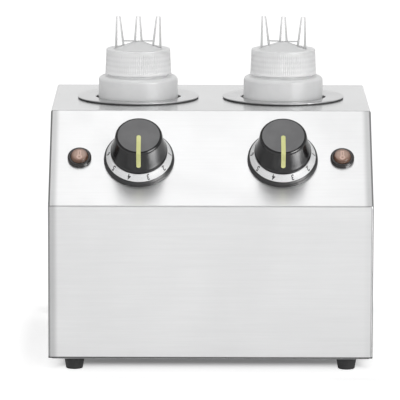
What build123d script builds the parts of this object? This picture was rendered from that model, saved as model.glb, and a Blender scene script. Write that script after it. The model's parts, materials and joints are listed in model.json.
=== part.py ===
from build123d import *
import os
from math import atan2, cos, hypot, pi, sin, tan

# Two-bottle hot fudge topping warmer, in millimetres.
# +Z is up, +X is the user's right and -Y faces the user.
# The origin is at the middle of the overall box, on the surface that the feet stand on.

os.makedirs("parts", exist_ok=True)

# ---------------------------------------------------------------- driving dimensions
# Casing: a folded sheet with an upright front, a sloping control panel and a flat top
casing_w = 320.0
front_h = 152.0
panel_run = 90.0
panel_rise = 82.0
top_depth = 192.0
sheet = 1.2
fold_r = 2.6          # outer radius of the two long folds
corner_r = 2.0        # outer radius where the sides meet the front, panel and top
return_w = 14.0       # inward flanges round the back and bottom openings

# Rear panel and base plate, screwed to the return flanges
rear_t = 1.0
rear_inset = 1.2
base_t = 1.2
base_inset = 3.0
plate_corner_r = 3.0
vent_slot = (42.0, 3.0)
vent_rows = 6
vent_pitch = 9.0
rear_vent_below_top = 62.0
base_vent_y = 20.0
base_screw_inset = 48.0

# Screws: shank radius, head radius, head height and thread length
casing_screw = (2.0, 3.9, 2.2, 7.0)
thermostat_screw = (2.0, 3.5, 2.0, 7.5)
inlet_screw = (1.5, 2.7, 1.5, 9.0)
foot_screw = (2.0, 3.6, 2.4, 16.0)
screw_play = 0.2
recess_w = 0.9        # arm of the cross recess
recess_share = 0.6    # depth of the recess, as a share of the head
head_round_share = 0.45

# Feet
foot_h = 13.8
foot_top_r = 9.75
foot_bottom_r = 7.9
foot_inset_x = 25.0
foot_inset_y = 26.0
foot_bore_depth = 6.5
foot_edge_r = 0.8

# Wells, where the bottles stand
well_x = 74.0
well_back = 94.5      # from the top's front fold to the well's centre
well_r = 43.0
well_wall = 1.0
well_floor_r = 9.0
well_lip_r = 2.0
flange_r = 61.8
flange_t = 1.2
gasket_t = 1.2
gasket_inset = 0.7
well_hole_play = 0.6
stud_count = 3
stud_circle_r = 53.0
stud_r = 2.0
stud_l = 9.0
stud_angle = 30.0
nut_flats = 7.0
nut_h = 3.2
nut_bite = 0.01       # how far a clamp nut closes on its screw, which joins the two

# Heater bands round the wells, their clamp, sensor bulb and cut-out
band_t = 2.0
band_h = 50.0
band_above_floor = 12.0
band_gap = 9.0
ear_l = 12.0
ear_t = 1.6
clamp_screw_r = 2.0
bulb_r = 3.2
bulb_round_share = 0.8
bulb_l = 60.0
bulb_below_flange = 22.0
bulb_gap = 0.15
capillary_r = 1.0
capillary_run = 26.0
capillary_slack = 16.0
clip_w = 10.0
clip_t = 0.8
cutout_r = 8.0
cutout_h = 9.0
cutout_flange_r = 12.0
cutout_flange_t = 1.2

# Bottles
bottle_r = 40.35
bottle_wall = 1.3
bottle_corner_r = 4.0
bottle_base_r = 9.5
bottle_stand_r = 28.2 # inner radius of the ring that the bottle stands on
bottle_depth = 162.0  # from the flange's top down to the bottle's base
bottle_seat_gap = 0.3
shoulder_h = 20.4     # heights above the flange's top
collar_low_h = 23.0
collar_top_h = 48.2
apex_h = 56.4
tip_h = 80.9
push_up = 3.0
neck_r = 29.4
neck_wall = 1.6
thread_depth = 1.4
thread_pitch = 5.0
thread_root_w = 2.2
thread_crest_w = 1.0
thread_turns = 1.25
thread_sink = 0.3     # how far a thread's root runs into its wall
thread_start_h = 29.0

# Collar, the screwed ring that clamps the nozzle insert on the neck
collar_low_r = 33.9
collar_top_r = 32.5
collar_top_t = 1.8
collar_chamfer = 1.0
collar_play = 0.6     # between the collar's bore and the crest of the neck's thread
collar_gap = 0.2      # between the insert and what clamps it

# Nozzle insert
insert_disc_t = 1.6
insert_wall = 1.4
insert_play = 0.4     # between the dome and the hole in the collar
tip_r = 2.35
nozzle_r = 4.45       # at the height of the apex
tip_spacing = 20.4
nozzle_spacing = 19.1
tip_bore_r = 1.3
nozzle_bore_r = 3.2
web_t = 2.0
row_turn = {"left": 0.0, "right": -12.0}

# Controls on the sloping panel; heights are measured out from the panel
knob_inset = 89.0     # from the casing's side
knob_down = 2.0       # down the slope from the panel's middle
lamp_inset = 30.0     # from the casing's side
lamp_down = 0.7
dial_r = 35.0
dial_rim_r = 33.7
dial_rim_h = 5.5
ring_in_r = 28.1
ring_top_h = 12.6
ring_t = 0.8
dial_wall = 1.6
dial_floor_t = 2.5
knob_base_r = 28.1
knob_face_r = 22.95
knob_face_h = 37.6
knob_waist = 0.55     # how far the knob's side is hollowed between base and face
knob_wall = 2.4
knob_chamfer = 1.5
knob_gap = 0.35
hub_r = 7.0
hub_low_h = 5.6
pointer_w = 4.3
pointer_end_h = 19.7
pointer_proud = 0.4
pointer_depth = 0.6

# Thermostats behind the panel
shaft_r = 3.0
shaft_flat = 1.0
shaft_out = 27.0
shaft_in = 18.0
shaft_play = 0.05
knob_bore_play = 0.02
bush_r = 4.9
bush_hole_play = 0.3
bush_out = 1.6
thermostat_size = (44.0, 36.0, 22.0)
thermostat_plate = (46.0, 26.0, 1.5)
thermostat_pitch = 28.0
tab_size = (6.3, 0.8, 8.0)
tab_pitch = 11.0

# Pilot lamps
lamp_bezel_r = 11.8
lamp_bezel_h = 3.4
lamp_bezel_round = 1.4
lamp_barrel_r = 9.9
lamp_barrel_l = 24.0
lamp_wall = 1.2
lamp_hole_play = 0.2
lens_r = 8.7
lens_rise = 3.0
lens_seat = 2.2
lens_play = 0.15
lamp_nut_flats = 24.0
lamp_nut_h = 4.0
neon_r = 3.0
neon_l = 12.0

# Mains inlet at the back, its pins and the wiring terminals
inlet_inset = 64.0    # from the casing's side
inlet_above_base = 32.0
inlet_flange = (50.0, 25.0, 3.0)
inlet_body = (28.0, 20.0, 24.0)
inlet_recess = (24.4, 16.4, 16.0)
inlet_corner = 3.0
inlet_edge_r = 0.8
inlet_screw_pitch = 40.0
pin_size = (2.0, 4.0, 13.0)
pin_pitch = 14.0
pin_low = -1.5
pin_high = 2.5
pin_tail = 9.0
block_size = (64.0, 17.0, 16.0)
block_poles = 6
block_ahead = 12.5    # from the wells' line forward to the terminal block's centre
block_screw_r = 2.2
block_screw_l = 5.0
block_screw_sink = 1.0
earth_stud_r = 2.5
earth_stud_l = 14.0
earth_inset = 42.0    # from the casing's side
earth_nut_flats = 8.0
earth_nut_h = 4.0

# Internal leads
supply_lead_r = 1.2
circuit_lead_r = 0.9
lead_run = 24.0       # straight run out of a terminal
control_run = 34.0    # run from the terminal block towards a thermostat
heater_drop = 41.0    # how far below a heater band its lead turns upright
bend_share = 0.45     # what a bend takes of its shorter run
lead_angle = 80.0     # where a lead meets a heater band, round from the casing's middle

# ---------------------------------------------------------------- derived places
casing_depth = panel_run + top_depth
slope = atan2(panel_rise, panel_run)
foot_x = casing_w / 2 - foot_inset_x
knob_x = casing_w / 2 - knob_inset
lamp_x = casing_w / 2 - lamp_inset
inlet_x = casing_w / 2 - inlet_inset
earth_x = casing_w / 2 - earth_inset

z_base = foot_h + base_t
z_fold = z_base + front_h
z_top = z_fold + panel_rise
z_flange = z_top + gasket_t + flange_t

knob_reach = (knob_face_h + pointer_proud) * sin(slope) + (knob_face_r + pointer_proud) * cos(slope)
y_reach_front = min(0.0, panel_run / 2 - knob_down * cos(slope) - knob_reach)
rear_proud = rear_t + max(inlet_flange[2] + inlet_screw[2], casing_screw[2])
y_front = -(y_reach_front + casing_depth + rear_proud) / 2
y_fold = y_front + panel_run
y_back = y_front + casing_depth
well_y = y_fold + well_back

sides = {"left": -1, "right": 1}
pick_gap = 0.1        # tells an edge on the casing's end from the ones beyond it


def panel_plane(x, down, height=0.0):
    """A plane on the sloping panel, down from its middle: local Y runs up the slope, Z points out."""
    y = y_front + panel_run / 2 - down * cos(slope)
    z = z_fold + panel_rise / 2 - down * sin(slope)
    face = Plane(origin=(x, y, z), x_dir=(1, 0, 0), z_dir=(0, -sin(slope), cos(slope)))
    return face.offset(height)


def panel_section(x, down):
    """The plane through a control's axis: local X runs down the slope, Y along the axis."""
    face = panel_plane(x, down)
    return Plane(origin=face.origin, x_dir=-face.y_dir, z_dir=-face.x_dir)


def rear_plane(height=0.0, x=0.0, z=0.0):
    """A plane on the rear panel: local X is to the user's left, Y is up, Z points back."""
    back = Plane(origin=(x, y_back + rear_t, z), x_dir=(-1, 0, 0), z_dir=(0, 1, 0))
    return back.offset(height)


def under_plane(x, y, z):
    """A plane that looks down from a point: its Z points to the floor."""
    return Plane(origin=(x, y, z), x_dir=(1, 0, 0), z_dir=(0, 0, -1))


def finish(builder, name, place=Location()):
    """Puts a finished piece in its place, labels it and writes its file."""
    piece = builder.part.moved(place)
    piece.label = name
    export_step(piece, "parts/" + name + ".step")


# ---------------------------------------------------------------- shared shapes
def rounded_face(plane, points):
    """The face inside an outline of (x, y) points; a third number rounds that corner."""
    with BuildSketch(plane) as shape:
        with BuildLine():
            Polyline(*[point[:2] for point in points], close=True)
        make_face()
        for corner in points:
            if len(corner) == 3:
                vertex = shape.vertices().sort_by_distance((corner[0], corner[1], 0))[0]
                fillet(vertex, corner[2])
    return shape.sketch


def screws(planes, size, cross=True):
    """Pan-head screws, one on each plane: the head stands on it and the shank goes behind."""
    shank_r, head_r, head_h, length = size
    with BuildPart() as group:
        for plane in planes:
            with BuildSketch(plane):
                Circle(head_r)
            extrude(amount=head_h)
        crowns = group.faces().filter_by(GeomType.PLANE).filter_by(Axis(planes[0].origin, planes[0].z_dir))
        crowns = crowns.sort_by(Axis(planes[0].origin, planes[0].z_dir))[-len(planes):]
        fillet(crowns.edges(), head_h * head_round_share)
        for plane in planes:
            with BuildSketch(plane):
                Circle(shank_r)
            extrude(amount=-length)
            if cross:
                with BuildSketch(plane.offset(head_h)):
                    Rectangle(head_r, recess_w)
                    Rectangle(recess_w, head_r)
                extrude(amount=-head_h * recess_share, mode=Mode.SUBTRACT)
    return group


def nuts(planes, flats, height, bore_r):
    """Hexagon nuts, one standing on each plane."""
    with BuildPart() as group:
        for plane in planes:
            with BuildSketch(plane):
                RegularPolygon(flats / 2, 6, major_radius=False)
                Circle(bore_r, mode=Mode.SUBTRACT)
            extrude(amount=height)
    return group


def tube(route, radius):
    """A lead or capillary along a route, each corner rounded as widely as its runs allow."""
    runs = [second - first for first, second in zip(route, route[1:])]
    bends = []
    for before, after in zip(runs, runs[1:]):
        half_turn = before.get_angle(after) * pi / 360
        bends.append(bend_share * min(before.length, after.length) / tan(half_turn))
    with BuildPart() as length:
        with BuildLine() as path:
            FilletPolyline(*route, radius=bends)
        with BuildSketch(Plane(origin=path.line @ 0, z_dir=path.line % 0)):
            Circle(radius)
        sweep(path=path.line)
    return length.part


def casing_block(inset):
    """The casing's outline as a solid, with every face moved in by inset."""
    profile = [
        (y_front, z_base),
        (y_front, z_fold),
        (y_fold, z_top),
        (y_back, z_top),
        (y_back, z_base),
    ]
    half_w = casing_w / 2 - inset
    with BuildPart() as block:
        with BuildSketch(Plane.YZ.offset(-half_w)):
            with BuildLine():
                Polyline(*profile, close=True)
            make_face()
            if inset:
                offset(amount=-inset, kind=Kind.INTERSECTION, mode=Mode.REPLACE)
        extrude(amount=2 * half_w)
        long_edges = block.edges().filter_by(Axis.X)
        upper_edges = long_edges.filter_by(lambda e: e.center().Z > z_base + front_h / 2)
        fillet(upper_edges.filter_by(lambda e: e.center().Y < y_back - top_depth / 2), fold_r - inset)
        rims = block.faces().filter_by(Axis.X).edges()
        rims = rims.filter_by(lambda e: e.center().Z > z_base + inset + pick_gap)
        rims = rims.filter_by(lambda e: e.center().Y < y_back - inset - pick_gap)
        fillet(rims, corner_r - inset)
    return block.part


# ---------------------------------------------------------------- casing
rear_window_w = casing_w - 2 * (sheet + return_w)
rear_window_h = z_top - z_base - 2 * (sheet + return_w)
rear_mid_z = (z_top + z_base) / 2
base_window_l = casing_depth - 2 * (sheet + return_w)
base_mid_y = (y_front + y_back) / 2
screw_line = sheet + return_w / 2
rear_screw_x = casing_w / 2 - screw_line
rear_screw_z = (z_base + screw_line, rear_mid_z, z_top - screw_line)
base_screw_y = (y_front + base_screw_inset, base_mid_y, y_back - base_screw_inset)

rear_points = [(x, z) for x in (-rear_screw_x, rear_screw_x) for z in rear_screw_z]
rear_points += [(0, rear_screw_z[0]), (0, rear_screw_z[2])]
base_points = [(x, y) for x in (-rear_screw_x, rear_screw_x) for y in base_screw_y]

with BuildPart() as casing_shell:
    add(casing_block(0.0))
    add(casing_block(sheet), mode=Mode.SUBTRACT)
    # back and bottom windows, which leave the return flanges
    with BuildSketch(Plane.XZ.offset(-y_back - sheet)):
        with Locations((0, rear_mid_z)):
            Rectangle(rear_window_w, rear_window_h)
    extrude(amount=3 * sheet, mode=Mode.SUBTRACT)
    with BuildSketch(Plane.XY.offset(z_base - sheet)):
        with Locations((0, base_mid_y)):
            Rectangle(rear_window_w, base_window_l)
    extrude(amount=3 * sheet, mode=Mode.SUBTRACT)
    # tapped holes in the flanges
    with BuildSketch(Plane.XZ.offset(-y_back - sheet)):
        with Locations(*rear_points):
            Circle(casing_screw[0])
    extrude(amount=3 * sheet, mode=Mode.SUBTRACT)
    with BuildSketch(Plane.XY.offset(z_base - sheet)):
        with Locations(*base_points):
            Circle(casing_screw[0])
    extrude(amount=3 * sheet, mode=Mode.SUBTRACT)
    # wells and their studs
    for side in sides.values():
        with BuildSketch(Plane.XY.offset(z_top + sheet)):
            with Locations((side * well_x, well_y)):
                Circle(well_r + well_wall + well_hole_play)
                with PolarLocations(stud_circle_r, stud_count, stud_angle):
                    Circle(stud_r + screw_play)
        extrude(amount=-3 * sheet, mode=Mode.SUBTRACT)
    # shafts, thermostat screws and lamps
    for side in sides.values():
        with BuildSketch(panel_plane(side * knob_x, knob_down, sheet)):
            Circle(bush_r + bush_hole_play)
            with GridLocations(thermostat_pitch, 0, 2, 1):
                Circle(thermostat_screw[0] + screw_play)
        extrude(amount=-3 * sheet, mode=Mode.SUBTRACT)
        with BuildSketch(panel_plane(side * lamp_x, lamp_down, sheet)):
            Circle(lamp_barrel_r + lamp_hole_play)
        extrude(amount=-3 * sheet, mode=Mode.SUBTRACT)
finish(casing_shell, "casing_shell")

inlet_z = z_base + inlet_above_base
with BuildPart() as rear_panel:
    with BuildSketch(rear_plane(-rear_t)):
        with Locations((0, rear_mid_z)):
            RectangleRounded(casing_w - 2 * rear_inset, z_top - z_base - 2 * rear_inset, plate_corner_r)
        with Locations(*rear_points):
            Circle(casing_screw[0] + screw_play, mode=Mode.SUBTRACT)
        with Locations((-inlet_x, inlet_z)):
            RectangleRounded(inlet_body[0], inlet_body[1], inlet_corner, mode=Mode.SUBTRACT)
            with GridLocations(inlet_screw_pitch, 0, 2, 1):
                Circle(inlet_screw[0] + screw_play, mode=Mode.SUBTRACT)
        with Locations((0, z_top - rear_vent_below_top)):
            with GridLocations(2 * well_x, vent_pitch, 2, vent_rows):
                SlotOverall(*vent_slot, mode=Mode.SUBTRACT)
    extrude(amount=rear_t)
finish(rear_panel, "rear_panel")

rear_panel_screws = screws([rear_plane(0, x, z) for x, z in rear_points], casing_screw)
finish(rear_panel_screws, "rear_panel_screws")

foot_y = (y_front + foot_inset_y, y_back - foot_inset_y)
foot_points = [(x, y) for x in (-foot_x, foot_x) for y in foot_y]
block_y = well_y - block_ahead
with BuildPart() as base_plate:
    with BuildSketch(Plane.XY.offset(z_base - base_t)):
        with Locations((0, base_mid_y)):
            RectangleRounded(casing_w - 2 * base_inset, casing_depth - 2 * base_inset, plate_corner_r)
        with Locations(*base_points, *foot_points):
            Circle(casing_screw[0] + screw_play, mode=Mode.SUBTRACT)
        with Locations((0, base_mid_y + base_vent_y)):
            with GridLocations(2 * well_x, vent_pitch, 2, vent_rows):
                SlotOverall(*vent_slot, mode=Mode.SUBTRACT)
        with Locations((earth_x, block_y)):
            Circle(earth_stud_r, mode=Mode.SUBTRACT)
    extrude(amount=base_t)
finish(base_plate, "base_plate")

base_plate_screws = screws([under_plane(x, y, z_base - base_t) for x, y in base_points], casing_screw)
finish(base_plate_screws, "base_plate_screws")

# ---------------------------------------------------------------- feet
foot_names = ("foot_front_left", "foot_rear_left", "foot_front_right", "foot_rear_right")
for name, (x, y) in zip(foot_names, foot_points):
    with BuildPart() as foot:
        with BuildSketch(Plane.XY):
            with Locations((x, y)):
                Circle(foot_bottom_r)
        with BuildSketch(Plane.XY.offset(foot_h)):
            with Locations((x, y)):
                Circle(foot_top_r)
        loft()
        fillet(foot.edges().group_by(Axis.Z)[0], foot_edge_r)
        with BuildSketch(Plane.XY):
            with Locations((x, y)):
                Circle(foot_screw[1] + 2 * screw_play)
        extrude(amount=foot_bore_depth, mode=Mode.SUBTRACT)
        with BuildSketch(Plane.XY.offset(foot_bore_depth)):
            with Locations((x, y)):
                Circle(foot_screw[0] + screw_play)
        extrude(amount=foot_h, mode=Mode.SUBTRACT)
    finish(foot, name)

foot_screws = screws([under_plane(x, y, foot_bore_depth) for x, y in foot_points], foot_screw)
finish(foot_screws, "foot_screws")

foot_nuts = nuts([Plane(origin=(x, y, z_base)) for x, y in foot_points], nut_flats, nut_h, foot_screw[0])
finish(foot_nuts, "foot_nuts")

# ---------------------------------------------------------------- wells
z_bottle = z_flange - bottle_depth
z_floor = z_bottle - bottle_seat_gap
well_out_r = well_r + well_wall
z_band = z_floor + band_above_floor
clamp_z = (z_band + band_h / 4, z_band + band_h * 3 / 4)
z_bulb = z_flange - bulb_below_flange - bulb_l
bulb_y = well_y - well_out_r - bulb_gap - bulb_r
z_cutout = z_floor - well_wall


def well_axis_section(x):
    """The upright plane through a well's axis: local X runs outwards, Y is up."""
    return Plane(origin=(x, well_y, 0), x_dir=(1, 0, 0), z_dir=(0, -1, 0))


for side_name, side in sides.items():
    x = side * well_x
    centre = (x, well_y)
    axis = Axis((x, well_y, 0), (0, 0, 1))

    with BuildPart() as well:
        cup = [
            (0, z_floor - well_wall),
            (well_out_r, z_floor - well_wall, well_floor_r + well_wall),
            (well_out_r, z_flange - flange_t),
            (flange_r, z_flange - flange_t),
            (flange_r, z_flange),
            (well_r, z_flange, well_lip_r),
            (well_r, z_floor, well_floor_r),
            (0, z_floor),
        ]
        revolve(rounded_face(well_axis_section(x), cup), axis=axis)
        with BuildSketch(Plane.XY.offset(z_flange - flange_t)):
            with Locations(centre):
                with PolarLocations(stud_circle_r, stud_count, stud_angle):
                    Circle(stud_r)
        extrude(amount=-stud_l)
    finish(well, "well_" + side_name)

    with BuildPart() as gasket:
        with BuildSketch(Plane.XY.offset(z_top)):
            with Locations(centre):
                Circle(flange_r - gasket_inset)
                Circle(well_out_r + well_hole_play, mode=Mode.SUBTRACT)
                with PolarLocations(stud_circle_r, stud_count, stud_angle):
                    Circle(stud_r + screw_play, mode=Mode.SUBTRACT)
        extrude(amount=gasket_t)
    finish(gasket, "well_gasket_" + side_name)

    # the band's open joint faces the middle of the casing
    joint_x = x - side * (well_out_r + band_t)
    ear_x = joint_x - side * ear_l / 2
    with BuildPart() as heater_band:
        with BuildSketch(Plane.XY.offset(z_band)):
            with Locations(centre):
                Circle(well_out_r + band_t)
            for shift in (-1, 1):
                ear_y = well_y + shift * (band_gap + ear_t) / 2
                with Locations((joint_x - side * (ear_l / 2 - band_t), ear_y)):
                    Rectangle(ear_l, ear_t)
            with Locations(centre):
                Circle(well_out_r, mode=Mode.SUBTRACT)
            with Locations((joint_x, well_y)):
                Rectangle(2 * ear_l, band_gap, mode=Mode.SUBTRACT)
        extrude(amount=band_h)
        for z in clamp_z:
            with BuildSketch(Plane(origin=(ear_x, well_y, z), x_dir=(1, 0, 0), z_dir=(0, 1, 0))):
                Circle(clamp_screw_r + screw_play)
            extrude(amount=band_gap, both=True, mode=Mode.SUBTRACT)
    finish(heater_band, "heater_band_" + side_name)

    ear_front = well_y - band_gap / 2 - ear_t
    clamp_planes = [Plane(origin=(ear_x, ear_front, z), x_dir=(1, 0, 0), z_dir=(0, -1, 0)) for z in clamp_z]
    clamp_size = (clamp_screw_r, nut_flats / 2, nut_h, band_gap + 2 * ear_t + nut_h)
    clamp_screws = screws(clamp_planes, clamp_size)
    nut_planes = [plane.offset(-band_gap - 2 * ear_t - nut_h) for plane in clamp_planes]
    with BuildPart() as heater_clamp:
        add(clamp_screws.part)
        add(nuts(nut_planes, nut_flats, nut_h, clamp_screw_r - nut_bite).part)
    finish(heater_clamp, "heater_clamp_screws_" + side_name)

    # sensor bulb against the well's front, with its capillary up to the thermostat
    tail = panel_plane(side * knob_x, knob_down, -sheet - thermostat_plate[2] - thermostat_size[2])
    route = [
        tail.origin,
        tail.offset(-capillary_run).origin,
        Vector(x, bulb_y - capillary_slack, z_bulb - 2 * capillary_run),
        Vector(x, bulb_y, z_bulb - capillary_run),
        Vector(x, bulb_y, z_bulb),
    ]
    with BuildPart() as sensor_tube:
        add(tube(route, capillary_r))
        with BuildSketch(Plane.XY.offset(z_bulb)):
            with Locations((x, bulb_y)):
                Circle(bulb_r)
        extrude(amount=bulb_l)
        fillet(sensor_tube.edges().group_by(Axis.Z)[-1], bulb_r * bulb_round_share)
    finish(sensor_tube, "sensor_tube_" + side_name)

    # spring clip round the bulb, with its two feet on the well
    with BuildPart() as bulb_clip:
        with BuildSketch(Plane.XY.offset(z_bulb + (bulb_l - clip_w) / 2)):
            with Locations((x, bulb_y)):
                Circle(bulb_r + clip_t)
            with Locations((x, bulb_y + bulb_r)):
                Rectangle(2 * (bulb_r + clip_t), 2 * bulb_r)
            with Locations((x, bulb_y)):
                Circle(bulb_r, mode=Mode.SUBTRACT)
            with Locations((x, bulb_y + bulb_r)):
                Rectangle(2 * bulb_r, 2 * bulb_r, mode=Mode.SUBTRACT)
            with Locations(centre):
                Circle(well_out_r, mode=Mode.SUBTRACT)
        extrude(amount=clip_w)
    finish(bulb_clip, "bulb_clip_" + side_name)

    with BuildPart() as cutout:
        with BuildSketch(Plane.XY.offset(z_cutout)):
            with Locations(centre):
                Circle(cutout_flange_r)
        extrude(amount=-cutout_flange_t)
        with BuildSketch(Plane.XY.offset(z_cutout - cutout_flange_t)):
            with Locations(centre):
                Circle(cutout_r)
        extrude(amount=-cutout_h)
        with BuildSketch(Plane.XY.offset(z_cutout - cutout_flange_t - cutout_h)):
            with Locations(centre):
                with GridLocations(cutout_r, 0, 2, 1):
                    Rectangle(tab_size[1], tab_size[0])
        extrude(amount=-tab_size[2])
    finish(cutout, "thermal_cutout_" + side_name)

stud_planes = []
for side in sides.values():
    for location in PolarLocations(stud_circle_r, stud_count, stud_angle):
        spot = location.position
        stud_planes.append(under_plane(side * well_x + spot.X, well_y + spot.Y, z_top - sheet))
well_nuts = nuts(stud_planes, nut_flats, nut_h, stud_r)
finish(well_nuts, "well_nuts")

# ---------------------------------------------------------------- controls
screw_heads = []
for side_name, side in sides.items():
    x = side * knob_x
    face = panel_plane(x, knob_down)
    section = panel_section(x, knob_down)
    axis = Axis(face.origin, face.z_dir)

    # fixed dial: a black moulding that carries the figured ring
    cone_l = hypot(dial_rim_r - ring_in_r, ring_top_h - dial_rim_h)
    seat_dr = ring_t * (ring_top_h - dial_rim_h) / cone_l
    seat_dh = ring_t * (dial_rim_r - ring_in_r) / cone_l
    seat_low = (dial_rim_r - seat_dr, dial_rim_h - seat_dh)
    seat_top = (ring_in_r - seat_dr, ring_top_h - seat_dh)
    wall_r = seat_top[0] - dial_wall
    with BuildPart() as dial_bezel:
        with BuildSketch(section):
            with BuildLine():
                Polyline(
                    (bush_r + bush_hole_play, 0),
                    (dial_r, 0),
                    (dial_rim_r, dial_rim_h),
                    seat_low,
                    seat_top,
                    (wall_r, seat_top[1]),
                    (wall_r, dial_floor_t),
                    (bush_r + bush_hole_play, dial_floor_t),
                    close=True,
                )
            make_face()
            # hollow behind the cone
            with BuildLine():
                Polyline(
                    (seat_top[0], 0),
                    (dial_r - dial_wall, 0),
                    (seat_low[0] - dial_wall, seat_low[1] - dial_wall),
                    (seat_top[0], seat_top[1] - 2 * dial_wall),
                    close=True,
                )
            make_face(mode=Mode.SUBTRACT)
        revolve(axis=axis)
        with BuildSketch(face):
            with GridLocations(thermostat_pitch, 0, 2, 1):
                Circle(thermostat_screw[0] + screw_play)
        extrude(amount=dial_floor_t, mode=Mode.SUBTRACT)
    finish(dial_bezel, "dial_bezel_" + side_name)

    with BuildPart() as dial_ring:
        with BuildSketch(section):
            with BuildLine():
                Polyline(seat_low, (dial_rim_r, dial_rim_h), (ring_in_r, ring_top_h), seat_top, close=True)
            make_face()
        revolve(axis=axis)
    finish(dial_ring, "dial_ring_" + side_name)

    # pointer: it follows the knob's outline, from the middle of the face down the side
    knob_low_h = ring_top_h + knob_gap
    taper = (knob_base_r - knob_face_r) / (knob_face_h - knob_low_h)
    end_r = knob_face_r + taper * (knob_face_h - pointer_end_h) - knob_waist
    with BuildPart() as knob_pointer:
        with BuildSketch(section):
            with BuildLine():
                Polyline(
                    (0, knob_face_h + pointer_proud),
                    (knob_face_r - knob_chamfer + pointer_proud, knob_face_h + pointer_proud),
                    (knob_face_r + pointer_proud, knob_face_h - knob_chamfer + pointer_proud),
                    (end_r + pointer_proud, pointer_end_h),
                    (end_r - pointer_depth, pointer_end_h),
                    (knob_face_r - pointer_depth, knob_face_h - knob_chamfer - pointer_depth),
                    (knob_face_r - knob_chamfer - pointer_depth, knob_face_h - pointer_depth),
                    (0, knob_face_h - pointer_depth),
                    close=True,
                )
            make_face()
        extrude(amount=pointer_w / 2, both=True)
    finish(knob_pointer, "knob_pointer_" + side_name)

    # knob: a hollow cap with a hub on the thermostat's shaft, grooved for the pointer
    mid_r = (knob_base_r + knob_face_r) / 2 - knob_waist
    mid_h = (knob_low_h + knob_face_h) / 2
    with BuildPart() as knob:
        with BuildSketch(section):
            with BuildLine():
                face_rim = (knob_face_r, knob_face_h)
                low_rim = (knob_base_r, knob_low_h)
                Polyline(face_rim, (0, knob_face_h), (0, knob_low_h), low_rim)
                ThreePointArc(low_rim, (mid_r, mid_h), face_rim)
            make_face()
        revolve(axis=axis)
        rim = knob.edges().filter_by(GeomType.CIRCLE).sort_by(axis)[-1]
        chamfer(rim, knob_chamfer)
        cap_h = knob_face_h - knob_wall - pointer_depth
        with BuildSketch(section):
            with BuildLine():
                Polyline(
                    (hub_r, knob_low_h),
                    (knob_base_r - knob_wall, knob_low_h),
                    (mid_r - knob_wall, mid_h),
                    (knob_face_r - knob_wall - knob_chamfer, cap_h),
                    (hub_r, cap_h),
                    close=True,
                )
            make_face()
        revolve(axis=axis, mode=Mode.SUBTRACT)
        with BuildSketch(face.offset(hub_low_h)):
            Circle(hub_r)
        extrude(amount=knob_low_h - hub_low_h)
        # D-shaped bore
        with BuildSketch(face.offset(hub_low_h)):
            Circle(shaft_r + knob_bore_play)
            with Locations((0, -2 * shaft_r + shaft_flat - knob_bore_play)):
                Rectangle(4 * shaft_r, 2 * shaft_r, mode=Mode.SUBTRACT)
        extrude(amount=shaft_out + bush_hole_play - hub_low_h, mode=Mode.SUBTRACT)
        add(knob_pointer.part, mode=Mode.SUBTRACT)
    finish(knob, "knob_" + side_name)

    # thermostat with its shaft
    plate_h = -sheet
    body_h = plate_h - thermostat_plate[2]
    with BuildPart() as thermostat:
        with BuildSketch(face.offset(plate_h)):
            RectangleRounded(thermostat_plate[0], thermostat_plate[1], plate_corner_r)
            with GridLocations(thermostat_pitch, 0, 2, 1):
                Circle(thermostat_screw[0], mode=Mode.SUBTRACT)
        extrude(amount=-thermostat_plate[2])
        with BuildSketch(face.offset(body_h)):
            RectangleRounded(thermostat_size[0], thermostat_size[1], plate_corner_r)
        extrude(amount=-thermostat_size[2])
        with BuildSketch(face.offset(body_h)):
            with GridLocations(thermostat_pitch, 0, 2, 1):
                Circle(thermostat_screw[0] + screw_play)
        extrude(amount=-thermostat_screw[3], mode=Mode.SUBTRACT)
        with BuildSketch(face.offset(plate_h)):
            Circle(bush_r)
        extrude(amount=-plate_h + bush_out)
        with BuildSketch(face.offset(bush_out)):
            Circle(shaft_r + shaft_play)
        extrude(amount=-bush_out - shaft_in - shaft_play, mode=Mode.SUBTRACT)
        with BuildSketch(face.offset(body_h - thermostat_size[2])):
            with Locations((0, thermostat_size[1] / 4)):
                with GridLocations(tab_pitch, 0, 3, 1):
                    Rectangle(tab_size[1], tab_size[0])
        extrude(amount=-tab_size[2])
    finish(thermostat, "thermostat_" + side_name)

    with BuildPart() as thermostat_shaft:
        with BuildSketch(face.offset(-shaft_in)):
            Circle(shaft_r)
        extrude(amount=shaft_in + shaft_out)
        with BuildSketch(face.offset(hub_low_h)):
            with Locations((0, -2 * shaft_r + shaft_flat)):
                Rectangle(4 * shaft_r, 2 * shaft_r)
        extrude(amount=shaft_out, mode=Mode.SUBTRACT)
    finish(thermostat_shaft, "thermostat_shaft_" + side_name)

    for offset_x in (-thermostat_pitch / 2, thermostat_pitch / 2):
        screw_heads.append(panel_plane(x + offset_x, knob_down, dial_floor_t))

thermostat_screws = screws(screw_heads, thermostat_screw)
finish(thermostat_screws, "thermostat_screws")

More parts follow.
